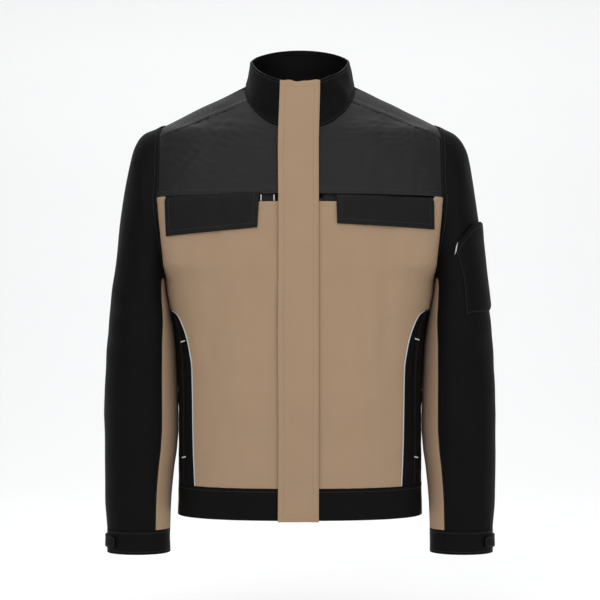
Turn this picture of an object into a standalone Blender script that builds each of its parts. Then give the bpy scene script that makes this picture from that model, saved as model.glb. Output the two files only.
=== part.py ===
# Waist-length work jacket, closed, hanging as if worn: cloth panels, zip, flaps, pockets.
# Frame: origin at the middle of the back neck seam, +Z up, the front faces -Y,
# the wearer's left is +X. Metres.
import bpy
import bmesh
import math
from mathutils import Matrix, Vector

# Overall sizes
BODY_LENGTH = 0.685          # back neck seam down to the hem
WAISTBAND_HEIGHT = 0.050
NECK_HALF_WIDTH = 0.087
NECK_BACK_DEPTH = 0.078
NECK_RISE = 0.012            # back neck seam above the neck's sides
FRONT_NECK_DROP = 0.070      # from the neck's sides down to the front neck seam
SHOULDER_HALF_WIDTH = 0.2297
SHOULDER_DROP = 0.058
ARMHOLE_HEIGHT = 0.251
ARMHOLE_FRONT = 0.075
ARMHOLE_BACK = 0.080
CHEST_HALF_WIDTH = 0.207     # at the armpit
WAIST_HALF_WIDTH = 0.1935
HEM_HALF_WIDTH = 0.1946
BACK_DEPTH = 0.138           # at the shoulder blades
FRONT_DEPTH = 0.133          # deepest point of the centre front
FRONT_ARC_RADIUS = 2.2       # the centre front line is one long arc
FRONT_ARC_DROP = 0.420

# Collar
COLLAR_SIDE_HEIGHT = 0.049
COLLAR_BACK_RISE = 0.0265
COLLAR_FRONT_FALL = 0.043
COLLAR_RIM_HALF_WIDTH = 0.079
COLLAR_RIM_BACK = 0.070
COLLAR_LAYER = 0.0016
COLLAR_LIFT = 0.0018         # lower edge above the neck seam

# Sleeves and cuffs
SLEEVE_LENGTH = 0.637        # shoulder tip down to the top of the cuff
CUFF_HEIGHT = 0.038
CUFF_HALF_WIDTH = 0.050
CUFF_HALF_DEPTH = 0.045
CUFF_THICKNESS = 0.003
CUFF_FORWARD = 0.015
CUFF_TAB_HEIGHT = 0.019
CUFF_TAB_START = 51.0        # degrees round the cuff from its outer side, towards the front
CUFF_TAB_END = -70.0

# Cloth
CLOTH = 0.0016
BAND_THICKNESS = 0.0030
SEAM_GAP = 0.0008
SEAM_TURN = 0.004            # half a side seam's gap, as an angle of the slice
LAYER_GAP = 0.0003
ARMHOLE_GAP = 0.0024         # cloth edge to cloth edge round the armhole
INNER_GAP = 0.0018           # between the cloth and what lies flat behind it
YOKE_DROP = 0.1806           # chest yoke's lower edge at the centre
YOKE_SLOPE = 0.022           # fall of that edge per metre towards the armhole
POCKET_MOUTH = 0.012         # between the yoke and the free top edge of the tan front
POCKET_MOUTH_END = 0.86       # share of the yoke edge where the mouth starts to close
BACK_YOKE_DROP = 0.175
PIPING_RADIUS = 0.0009

# Storm flap and zip
STORM_LEFT = 0.0290          # sewn edge
STORM_RIGHT = -0.0336        # free edge
STORM_LIFT = 0.0026
STORM_THICKNESS = 0.0024
FRONT_OPENING = 0.0090       # cloth edge from the centre line
TAPE_WIDTH = 0.0150
TAPE_THICKNESS = 0.0007
CHAIN_INNER = 0.0008
CHAIN_WIDTH = 0.0028
CHAIN_THICKNESS = 0.0024
ZIP_DEPTH = 0.0054           # middle of the chain behind the cloth face
SLIDER_LENGTH = 0.012
SLIDER_WIDTH = 0.0100
SLIDER_PLATE = 0.0011
SLIDER_WEB = 0.0008
PULL_LENGTH = 0.022
PULL_WIDTH = 0.0050
PULL_THICKNESS = 0.0010
BAIL_LENGTH = 0.0050
BAIL_WIRE = 0.0010
ZIP_TOP_MARGIN = 0.014
ZIP_BOX_HEIGHT = 0.010
GUARD_WIDTH = 0.046

# Flaps and pockets
FLAP_LIFT = 0.0016
FLAP_THICKNESS = 0.0026
PATCH = 0.0006
BAG_THICKNESS = 0.0016
CHEST_BAG_DEPTH = 0.120
CHEST_BAG_IN = 0.0345
CHEST_BAG_OUT = 0.1780
SLIT_TOP_DROP = 0.412
SLIT_LENGTH = 0.182
TAB_THICKNESS = 0.0008
BARTACK_LENGTH = 0.0080
BARTACK_LIFT = 0.0009
LOOP_WIDTH = 0.060
LOOP_DROP = 0.020
LOOP_CORD = 0.0016

# Heights worked out from the sizes above
NECK_Z = -NECK_RISE
FRONT_NECK_Z = NECK_Z - FRONT_NECK_DROP
TIP_Z = NECK_Z - SHOULDER_DROP
ARMPIT_Z = TIP_Z - ARMHOLE_HEIGHT
HEM_Z = -BODY_LENGTH
WAIST_Z = HEM_Z + WAISTBAND_HEIGHT
YOKE_Z = -YOKE_DROP
CUFF_TOP_Z = TIP_Z - SLEEVE_LENGTH
CUFF_LOW_Z = CUFF_TOP_Z - CUFF_HEIGHT
BELOW = ARMPIT_Z - WAIST_Z   # side seam length

COLOURS = {
    "black": ((0.012, 0.012, 0.013, 1), 0.85, 0.0),
    "tan": ((0.352, 0.246, 0.159, 1), 0.85, 0.0),
    "reflective": ((0.50, 0.51, 0.52, 1), 0.35, 0.2),
    "tape": ((0.010, 0.010, 0.010, 1), 0.8, 0.0),
    "zip_metal": ((0.20, 0.20, 0.21, 1), 0.35, 1.0),
    "zip_teeth": ((0.015, 0.015, 0.016, 1), 0.45, 0.0),
    "hook": ((0.014, 0.014, 0.014, 1), 0.9, 0.0),
    "label": ((0.55, 0.55, 0.53, 1), 0.7, 0.0),
    "thread": ((0.48, 0.47, 0.45, 1), 0.7, 0.0),
}


# ---------- helpers ----------
def lerp(a, b, t):
    return a + (b - a) * t


def curve(points, t):
    """Smooth curve through a few (t, value) points, with no overshoot."""
    pts = sorted(points)
    if t <= pts[0][0]:
        return pts[0][1]
    if t >= pts[-1][0]:
        return pts[-1][1]
    steps = [(b[1] - a[1]) / (b[0] - a[0]) for a, b in zip(pts, pts[1:])]
    slopes = [steps[0]]
    for a, b in zip(steps, steps[1:]):
        slopes.append(0.0 if a * b <= 0 else 2 * a * b / (a + b))
    slopes.append(steps[-1])
    i = max(k for k in range(len(pts) - 1) if pts[k][0] <= t)
    h = pts[i + 1][0] - pts[i][0]
    u = (t - pts[i][0]) / h
    a = (2 * u ** 3 - 3 * u ** 2 + 1) * pts[i][1] + (u ** 3 - 2 * u ** 2 + u) * h * slopes[i]
    b = (3 * u ** 2 - 2 * u ** 3) * pts[i + 1][1] + (u ** 3 - u ** 2) * h * slopes[i + 1]
    return a + b


def steps(count, low=0.0, high=1.0):
    return [lerp(low, high, i / count) for i in range(count + 1)]


def material(slot):
    name = "part_" + slot
    if name in bpy.data.materials:
        return bpy.data.materials[name]
    colour, rough, metal = COLOURS[slot]
    made = bpy.data.materials.new(name)
    made.use_nodes = True
    shader = made.node_tree.nodes["Principled BSDF"]
    shader.inputs["Base Color"].default_value = colour
    shader.inputs["Roughness"].default_value = rough
    shader.inputs["Metallic"].default_value = metal
    return made


def finish(name, bm, slot, origin=None):
    """Make one object; a moving piece gets its origin on its joint's axis."""
    bmesh.ops.remove_doubles(bm, verts=bm.verts, dist=1e-6)
    bmesh.ops.recalc_face_normals(bm, faces=bm.faces)
    at = Vector(origin) if origin else Vector((0, 0, 0))
    bmesh.ops.translate(bm, verts=bm.verts, vec=-at)
    mesh = bpy.data.meshes.new(name)
    bm.to_mesh(mesh)
    bm.free()
    mesh.shade_smooth()
    mesh.set_sharp_from_angle(angle=math.radians(40))
    made = bpy.data.objects.new(name, mesh)
    made.location = at
    made.data.materials.append(material(slot))
    bpy.context.scene.collection.objects.link(made)
    return made


def add_grid(bm, point, us, vs):
    """Quads through point(u, v)."""
    rows = [[bm.verts.new(point(u, v)) for u in us] for v in vs]
    for low, high in zip(rows, rows[1:]):
        for i in range(len(us) - 1):
            bm.faces.new((low[i], low[i + 1], high[i + 1], high[i]))


def thicken(bm, low, high, outward):
    """Turn an open sheet into a closed shell from low to high along its normals."""
    bmesh.ops.remove_doubles(bm, verts=bm.verts, dist=1e-6)
    bmesh.ops.recalc_face_normals(bm, faces=bm.faces)
    bm.normal_update()
    bm.faces.ensure_lookup_table()
    face = bm.faces[0]
    flip = -1.0 if face.normal.dot(outward(face.calc_center_median())) < 0 else 1.0
    shell = bmesh.new()
    tops = {}
    lows = {}
    for vert in bm.verts:
        tops[vert] = shell.verts.new(vert.co + vert.normal * high * flip)
        lows[vert] = shell.verts.new(vert.co + vert.normal * low * flip)
    for face in bm.faces:
        shell.faces.new([tops[v] for v in face.verts])
        shell.faces.new([lows[v] for v in reversed(face.verts)])
    for edge in bm.edges:
        if len(edge.link_faces) == 1:
            a, b = edge.verts
            shell.faces.new((tops[a], tops[b], lows[b], lows[a]))
    bm.free()
    return shell


def away_from_axis(point):
    """Outward on the torso and collar."""
    return Vector((point.x, point.y, 0.0)) + Vector((0, 0, 0.02))


def sheet(name, grids, low, high, slot, outward=away_from_axis, origin=None):
    bm = bmesh.new()
    for point, us, vs in grids:
        add_grid(bm, point, us, vs)
    return finish(name, thicken(bm, low, high, outward), slot, origin)


def add_box(bm, centre, size, turn=None):
    """A box with its own axes along turn's columns."""
    made = bmesh.ops.create_cube(bm, size=1.0)["verts"]
    for vert in made:
        local = Vector(vert.co[i] * size[i] for i in range(3))
        vert.co = Vector(centre) + (turn @ local if turn else local)


def add_tube(bm, path, radius, sides=8):
    """A capped round tube along a path of points."""
    rings = []
    for i, at in enumerate(path):
        along = (path[min(i + 1, len(path) - 1)] - path[max(i - 1, 0)]).normalized()
        side = along.cross(Vector((0.05, 1, 0.02))).normalized()
        up = side.cross(along).normalized()
        ring = []
        for k in range(sides):
            turn = 2 * math.pi * k / sides
            ring.append(bm.verts.new(at + side * radius * math.cos(turn) + up * radius * math.sin(turn)))
        rings.append(ring)
    for low, high in zip(rings, rings[1:]):
        for k in range(sides):
            bm.faces.new((low[k], low[(k + 1) % sides], high[(k + 1) % sides], high[k]))
    bm.faces.new(list(reversed(rings[0])))
    bm.faces.new(rings[-1])


# ---------- torso surface: horizontal slices ----------
def half_width(z):
    """Half width of the slice: the body's side, the armhole edge, then the shoulder line."""
    return curve([
        (HEM_Z, HEM_HALF_WIDTH),
        (WAIST_Z, WAIST_HALF_WIDTH),
        (WAIST_Z + BELOW * 0.27, WAIST_HALF_WIDTH),
        (ARMPIT_Z - BELOW * 0.46, WAIST_HALF_WIDTH + 0.002),
        (ARMPIT_Z - BELOW * 0.27, CHEST_HALF_WIDTH - 0.008),
        (ARMPIT_Z - BELOW * 0.14, CHEST_HALF_WIDTH - 0.003),
        (ARMPIT_Z, CHEST_HALF_WIDTH),
        (ARMPIT_Z + ARMHOLE_HEIGHT * 0.17, lerp(CHEST_HALF_WIDTH, SHOULDER_HALF_WIDTH, 0.22)),
        (ARMPIT_Z + ARMHOLE_HEIGHT * 0.30, lerp(CHEST_HALF_WIDTH, SHOULDER_HALF_WIDTH, 0.46)),
        (ARMPIT_Z + ARMHOLE_HEIGHT * 0.56, lerp(CHEST_HALF_WIDTH, SHOULDER_HALF_WIDTH, 0.70)),
        (ARMPIT_Z + ARMHOLE_HEIGHT * 0.88, lerp(CHEST_HALF_WIDTH, SHOULDER_HALF_WIDTH, 0.80)),
        (TIP_Z, SHOULDER_HALF_WIDTH),
        (NECK_Z, NECK_HALF_WIDTH),
    ], z)


def armhole_round(z):
    """1 at the armhole's mid height, 0 at its top and bottom."""
    middle = (TIP_Z + ARMPIT_Z) / 2
    part = min(1.0, abs(z - middle) / (ARMHOLE_HEIGHT / 2))
    return (1 - part ** 2.2) ** (1 / 2.2)


def front_arc(z):
    """Depth of the centre front line, which zip and storm flap share."""
    rise = z + FRONT_ARC_DROP
    return FRONT_DEPTH - FRONT_ARC_RADIUS + math.sqrt(FRONT_ARC_RADIUS ** 2 - rise ** 2)


def front_depth(z):
    base = front_arc(YOKE_Z + 0.04)
    return curve([
        (NECK_Z, 0.0),
        (NECK_Z - FRONT_NECK_DROP * 0.33, base * 0.37),
        (NECK_Z - FRONT_NECK_DROP * 0.69, base * 0.67),
        (FRONT_NECK_Z, base * 0.87),
        (FRONT_NECK_Z - 0.028, base * 0.94),
        (YOKE_Z + 0.04, base),
    ], z) if z > YOKE_Z + 0.04 else front_arc(z)


def back_depth(z):
    return curve([
        (NECK_Z, NECK_BACK_DEPTH),
        (NECK_Z - 0.03, lerp(NECK_BACK_DEPTH, BACK_DEPTH, 0.33)),
        (TIP_Z - 0.01, lerp(NECK_BACK_DEPTH, BACK_DEPTH, 0.65)),
        (TIP_Z - 0.07, lerp(NECK_BACK_DEPTH, BACK_DEPTH, 0.90)),
        (TIP_Z - 0.15, BACK_DEPTH),
        (ARMPIT_Z, BACK_DEPTH - 0.003),
        (ARMPIT_Z - BELOW * 0.45, BACK_DEPTH - 0.014),
        (WAIST_Z, BACK_DEPTH - 0.014),
        (HEM_Z, BACK_DEPTH - 0.011),
    ], z)


def squareness(z):
    return curve([(WAIST_Z, 2.45), (ARMPIT_Z, 2.35), (YOKE_Z, 2.2), (TIP_Z, 2.0)], z)


def torso(phi, z, side=1, behind=False):
    """Point of the torso at height z; phi runs from the centre line, 0, to the side, pi / 2."""
    n = squareness(z)
    across = max(0.0, math.sin(phi)) ** (2 / n)
    along = max(0.0, math.cos(phi)) ** (2 / n)
    x = half_width(z) * across
    if behind:
        edge = ARMHOLE_BACK * armhole_round(z)
        y = edge + (back_depth(z) - edge) * along
        high = max(0.0, min(1.0, (z + BACK_YOKE_DROP) / (NECK_Z + BACK_YOKE_DROP)))
        z += NECK_RISE * along ** 2 * high ** 2
    else:
        edge = -ARMHOLE_FRONT * armhole_round(z)
        y = edge - (front_depth(z) + edge) * along
        if z < NECK_Z - 0.01:
            y -= (front_arc(z) - front_depth(z)) * math.exp(-(x / 0.05) ** 2)
    return Vector((side * x, y, z))


def phi_at(x, z):
    """Front angle at which the slice is x wide."""
    share = min(1.0, max(0.0, x / half_width(z)))
    return math.asin(share ** (squareness(z) / 2))


def front(x, z, side=1):
    return torso(phi_at(x, z), z, side)


def back(x, z, side=1):
    return torso(phi_at(x, z), z, side, True)


def span(low_x, high_x, z, t):
    """Angle a share t of the way between two half widths at one height."""
    return lerp(phi_at(low_x, z), phi_at(high_x, z), t)


def pushed(x, z, out, side=1):
    """Point held off the front of the torso by out."""
    step = 0.002
    phi = phi_at(x, z)
    along = torso(phi + 0.01, z, side) - torso(phi - 0.01, z, side)
    up = torso(phi, z + step, side) - torso(phi, z - step, side)
    normal = along.cross(up).normalized()
    if normal.y > 0:
        normal = -normal
    return front(x, z, side) + normal * out


# ---------- seam lines ----------
def neck_seam(theta):
    """(half width, height, behind) of the neck seam; theta 0 front, pi back."""
    x = NECK_HALF_WIDTH * math.sin(theta)
    if theta <= math.pi / 2:
        return x, NECK_Z - FRONT_NECK_DROP * math.cos(theta), False
    return x, NECK_Z, True


def neck_point(theta, side=1):
    x, z, behind = neck_seam(theta)
    if behind:
        return torso(math.asin(min(1.0, x / NECK_HALF_WIDTH)), z, side, True)
    return front(x, z, side)


def yoke_edge(x):
    return YOKE_Z - YOKE_SLOPE * x


SHOULDER_SEAM_NECK = math.radians(68.6)           # where the forward shoulder seam meets the neck
SHOULDER_SEAM_FALL = 0.0213                       # its height at the armhole below the tip


def shoulder_seam(s):
    """(half width, height) of the forward shoulder seam; s 0 neck, 1 armhole."""
    x0, z0, _ = neck_seam(SHOULDER_SEAM_NECK)
    z1 = TIP_Z - SHOULDER_SEAM_FALL
    return lerp(x0, half_width(z1), s), lerp(z0, z1, s)


def piping_edge(z):
    """Half width of the piping between the tan front and the black hip panel."""
    top = ARMPIT_Z - BELOW * 0.145
    inner = CHEST_HALF_WIDTH * 0.81
    return curve([
        (WAIST_Z - 0.001, inner - 0.0035),
        (WAIST_Z + BELOW * 0.2, inner - 0.001),
        (ARMPIT_Z - BELOW * 0.42, inner + 0.001),
        (ARMPIT_Z - BELOW * 0.32, inner + 0.0055),
        (ARMPIT_Z - BELOW * 0.265, inner + 0.0095),
        (ARMPIT_Z - BELOW * 0.21, inner + 0.0155),
        (top - BELOW * 0.02, inner + 0.0260),
        (top, half_width(top) - 0.001),
    ], z)


PIPING_TOP = ARMPIT_Z - BELOW * 0.145


def beside_piping(z, way):
    """Angle of the cloth edge beside the piping; way -1 towards the zip, 1 towards the side."""
    phi = phi_at(piping_edge(z), z)
    step = 0.002
    low = front(piping_edge(z - step), z - step)
    high = front(piping_edge(z + step), z + step)
    lean = math.hypot(high.x - low.x, high.y - low.y) / (2 * step)
    speed = (torso(phi + 0.01, z) - torso(phi - 0.01, z)).length / 0.02
    return phi + way * (PIPING_RADIUS + SEAM_GAP) * math.sqrt(1 + lean ** 2) / speed


def slit_edge(z):
    """Half width of the hand pocket's mouth line inside the hip panel."""
    return lerp(piping_edge(z), half_width(z), curve([(WAIST_Z, 0.58), (PIPING_TOP, 0.45)], z))


# ---------- torso panels ----------
def blend_patch(left, right, low, high, u, v):
    """Point of the patch between four edges, in (angle, height) space."""
    a = Vector(left(v)) * (1 - u) + Vector(right(v)) * u
    b = Vector(low(u)) * (1 - v) + Vector(high(u)) * v
    c = (Vector(left(0)) * (1 - u) + Vector(right(0)) * u) * (1 - v)
    c += (Vector(left(1)) * (1 - u) + Vector(right(1)) * u) * v
    return a + b - c


def on_front(x, z):
    return (phi_at(x, z), z)


def yoke_line(u, drop=0.0):
    """Chest yoke's lower edge from the zip, u 0, to the armhole, u 1."""
    x = lerp(FRONT_OPENING, half_width(YOKE_Z), u)
    z = yoke_edge(x) - drop
    return (lerp(phi_at(FRONT_OPENING, z), math.pi / 2, u), z)


def front_panels(side, name):
    gap = SEAM_GAP / 2
    split = PIPING_TOP + 0.002

    def lower(u, v):
        z = lerp(WAIST_Z + gap, split, v)
        edge = beside_piping(z, -1) if z < PIPING_TOP else math.pi / 2
        return torso(lerp(phi_at(FRONT_OPENING, z), edge, u), z, side)

    def top(t):
        closing = max(0.0, (t - POCKET_MOUTH_END) / (1 - POCKET_MOUTH_END))
        return yoke_line(t, lerp(POCKET_MOUTH, gap * 2, closing))

    def upper(u, v):
        phi, z = blend_patch(
            lambda t: on_front(FRONT_OPENING, lerp(split, yoke_line(0, POCKET_MOUTH)[1], t)),
            lambda t: (math.pi / 2, lerp(split, yoke_line(1, gap * 2)[1], t)),
            lambda t: (lerp(phi_at(FRONT_OPENING, split), math.pi / 2, t), split),
            top, u, v)
        return torso(phi, z, side)

    rise = [1 - (1 - v) ** 2.2 for v in steps(11)]
    sheet(name + "_front_panel", [(lower, steps(12), rise), (upper, steps(12), steps(7))],
          -CLOTH, 0, "tan")

    corner = 0.45
    theta_low = math.asin((FRONT_OPENING + gap) / NECK_HALF_WIDTH)

    def left_edge(v):
        if v <= corner:
            neck = neck_seam(theta_low)[1] - gap
            return on_front(FRONT_OPENING, lerp(yoke_line(0)[1], neck, v / corner))
        theta = lerp(theta_low, SHOULDER_SEAM_NECK, (v - corner) / (1 - corner))
        x, z, _ = neck_seam(theta)
        return on_front(x + gap * 0.6, z - gap)

    def right_side(v):
        return (math.pi / 2, lerp(yoke_line(1)[1], shoulder_seam(1)[1] - gap, v))

    def high(u):
        x, z = shoulder_seam(u)
        return on_front(x, z - gap)

    def yoke(u, v):
        phi, z = blend_patch(left_edge, right_side, yoke_line, high, u, v)
        return torso(phi, z, side)

    rows = steps(4, 0, corner) + steps(5, corner, 1)[1:]
    sheet(name + "_chest_yoke", [(yoke, steps(12), rows)], -CLOTH, 0, "black")


def back_pieces():
    gap = SEAM_GAP / 2
    low = -BACK_YOKE_DROP + gap
    middle = NECK_HALF_WIDTH * 1.1

    def centre(u, v):
        turn = abs(u)
        top = math.asin(turn)
        bottom = phi_at(middle * turn, low)
        phi = lerp(bottom, top, v)
        return torso(phi, lerp(low, NECK_Z, v), -1 if u < 0 else 1, True)

    grids = [(centre, [math.sin(math.radians(a)) for a in range(-90, 91, 10)], steps(10))]
    for side in (1, -1):
        def ridge(s):
            return (math.pi / 2, lerp(NECK_Z, TIP_Z, s))

        def behind(u, v, side=side):
            phi, z = blend_patch(
                lambda t: (lerp(phi_at(middle, low), math.pi / 2, t), lerp(low, NECK_Z, t)),
                lambda t: (math.pi / 2, lerp(low, TIP_Z, t)),
                lambda t: (lerp(phi_at(middle, low), math.pi / 2, t), low), ridge, u, v)
            return torso(phi, z, side, True)

        def ahead(u, v, side=side):
            def neck(t):
                x, z, _ = neck_seam(lerp(math.pi / 2, SHOULDER_SEAM_NECK, t))
                return on_front(x, z)

            phi, z = blend_patch(
                neck, lambda t: (math.pi / 2, lerp(TIP_Z, shoulder_seam(1)[1], t)), ridge,
                lambda t: on_front(*shoulder_seam(t)), u, v)
            return torso(phi, z + gap * v, side)

        grids.append((behind, steps(12), steps(10)))
        grids.append((ahead, steps(12), steps(5)))
    sheet("back_yoke", grids, -CLOTH, 0, "black")

    def panel(u, v):
        z = lerp(WAIST_Z + gap, -BACK_YOKE_DROP - gap, v)
        edge = SEAM_TURN if z < ARMPIT_Z else 0.0
        return torso((math.pi / 2 - edge) * abs(u), z, -1 if u < 0 else 1, True)

    sheet("back_panel", [(panel, steps(18, -1, 1), steps(12))], -CLOTH, 0, "tan")


def hip_panels(side, name):
    gap = SEAM_GAP / 2

    def ahead(u, v):
        z = lerp(WAIST_Z + gap, PIPING_TOP - 0.012, v)
        low = beside_piping(z, 1)
        return torso(lerp(low, max(low + 0.006, phi_at(slit_edge(z) - gap, z)), u), z, side)

    def beside(u, v):
        z = lerp(WAIST_Z + gap, PIPING_TOP - 0.012, v)
        low = max(phi_at(slit_edge(z) + gap, z), beside_piping(z, 1) + 0.012)
        return torso(lerp(low, math.pi / 2 - SEAM_TURN, u), z, side)

    rise = [1 - (1 - v) ** 1.8 for v in steps(12)]
    sheet(name + "_pocket_facing", [(ahead, steps(3), rise)], -CLOTH, 0, "black")
    sheet(name + "_hip_panel", [(beside, steps(6), rise)], -CLOTH, 0, "black")
    bm = bmesh.new()
    add_tube(bm, [front(piping_edge(z), z, side)
                  for z in (lerp(WAIST_Z + gap, PIPING_TOP - 0.001, t) for t in rise)],
             PIPING_RADIUS, 8)
    finish(name + "_piping", bm, "reflective")

    def bag(u, v):
        z = lerp(SLIT_FOOT - 0.024, -SLIT_TOP_DROP + 0.010, v)
        low = piping_edge(z) - 0.070
        return torso(span(low, slit_edge(z) - 0.002, z, u), z, side)

    sheet(name + "_hand_pocket", [(bag, steps(6), steps(6))], -CLOTH - INNER_GAP - BAG_THICKNESS,
          -CLOTH - INNER_GAP, "black")


SLIT_FOOT = -SLIT_TOP_DROP - SLIT_LENGTH


def bartacks():
    """Sewn bars that close both ends of each hand pocket's mouth."""
    for side, name in ((1, "left"), (-1, "right")):
        for z, end in ((-SLIT_TOP_DROP, "top"), (SLIT_FOOT, "foot")):
            low = pushed(slit_edge(z) - BARTACK_LENGTH / 2, z, BARTACK_LIFT, side)
            high = pushed(slit_edge(z) + BARTACK_LENGTH / 2, z, BARTACK_LIFT, side)
            along = (high - low).normalized()
            up = Vector((0, 0, 1))
            bm = bmesh.new()
            add_box(bm, (low + high) / 2, ((high - low).length, BARTACK_LIFT, 0.0020),
                    matrix(along, up.cross(along), up))
            finish("%s_bartack_%s" % (name, end), bm, "thread")


def matrix(a, b, c):
    """Turn whose columns are the three directions given."""
    return Matrix((a.normalized(), b.normalized(), c.normalized())).transposed()


def waistband():
    gap = SEAM_GAP / 2

    def make(name, low, high, side):
        def part(u, v):
            z = lerp(HEM_Z, WAIST_Z - gap, v)
            return torso(lerp(low(z), high(z), u), z, side)
        sheet(name, [(part, steps(8), steps(2))], -BAND_THICKNESS + 0.0004, 0.0004, "black")

    for side, name in ((1, "left"), (-1, "right")):
        make(name + "_waistband", lambda z: phi_at(FRONT_OPENING, z), lambda z: math.pi / 2 - SEAM_TURN, side)

    def rear(u, v):
        z = lerp(HEM_Z, WAIST_Z - gap, v)
        return torso((math.pi / 2 - SEAM_TURN) * abs(u), z, -1 if u < 0 else 1, True)

    sheet("back_waistband", [(rear, steps(16, -1, 1), steps(2))], -BAND_THICKNESS + 0.0004, 0.0004,
          "black")


# ---------- collar ----------
COLLAR_OPENING = FRONT_OPENING + 0.0115


def collar_rim(theta):
    """Rim point at theta from the front, on the +X side."""
    x = COLLAR_RIM_HALF_WIDTH * math.sin(theta)
    lean = math.cos(theta)
    z = NECK_Z + COLLAR_SIDE_HEIGHT
    if theta <= math.pi / 2:
        z -= COLLAR_FRONT_FALL * lean
        return Vector((x, -front_arc(z) * lean, z))
    return Vector((x, -COLLAR_RIM_BACK * lean, z + COLLAR_BACK_RISE * lean ** 2))


def collar_point(u, v):
    """u 0 at the left front end, round the back to 1 at the right front end."""
    turn = lerp(-1, 1, u)
    side = -1 if turn > 0 else 1
    start = math.asin(COLLAR_OPENING / COLLAR_RIM_HALF_WIDTH)
    theta = lerp(math.pi, start, abs(turn))
    base = neck_point(theta, 1) + Vector((0, 0, COLLAR_LIFT))
    rim = collar_rim(theta)
    point = base.lerp(rim, v)
    return Vector((side * point.x, point.y, point.z))


def collar():
    sheet("collar_outer", [(collar_point, steps(36), steps(4))], -COLLAR_LAYER, 0, "black")
    sheet("collar_inner", [(collar_point, steps(36), steps(4))], -COLLAR_LAYER * 2 - LAYER_GAP,
          -COLLAR_LAYER - LAYER_GAP, "black")
    bm = bmesh.new()
    reach = COLLAR_LAYER * 2 + LAYER_GAP * 3 + LOOP_CORD
    path = []
    for t in steps(12, -1, 1):
        x = LOOP_WIDTH / 2 * t
        y = NECK_BACK_DEPTH * math.sqrt(1 - (x / NECK_HALF_WIDTH) ** 2) - reach
        path.append(Vector((x, y, 0.004 - LOOP_DROP * (1 - t ** 4))))
    add_tube(bm, path, LOOP_CORD / 2, 8)
    finish("hanger_loop", bm, "tape")

    def label(u, v):
        x = lerp(-0.026, 0.026, u)
        z = lerp(-0.062, -0.032, v)
        return back(abs(x), z, -1 if x < 0 else 1)

    low = -CLOTH - INNER_GAP
    sheet("neck_label", [(label, steps(4), steps(2))], low - 0.0006, low, "label")


# ---------- zip and storm flap ----------
def arc_point(x, z, out=0.0):
    """Point in front of the centre front line by out."""
    return Vector((x, -front_arc(z) - out, z))


def strip(name, x0, x1, z0, z1, low, high, slot, count=14, origin=None):
    """A strip along the centre front arc; low and high are its faces in front of the arc."""
    def point(u, v):
        return arc_point(lerp(x0, x1, u), lerp(z0, z1, v))
    return sheet(name, [(point, steps(2), steps(count))], low, high, slot,
                 lambda p: Vector((0, -1, 0)), origin)


ZIP_TOP = NECK_Z + COLLAR_SIDE_HEIGHT - COLLAR_FRONT_FALL - ZIP_TOP_MARGIN
ZIP_FOOT = HEM_Z + 0.004
CHAIN_FOOT = ZIP_FOOT + ZIP_BOX_HEIGHT + 0.0005
SLIDER_Z = ZIP_TOP - 0.004 - SLIDER_LENGTH / 2


def slider_frame():
    """Turn whose columns are across, out and up along the arc at the slider."""
    up = (arc_point(0, SLIDER_Z + 0.001) - arc_point(0, SLIDER_Z - 0.001)).normalized()
    across = Vector((1, 0, 0))
    return matrix(across, up.cross(across) * -1, up)


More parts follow.
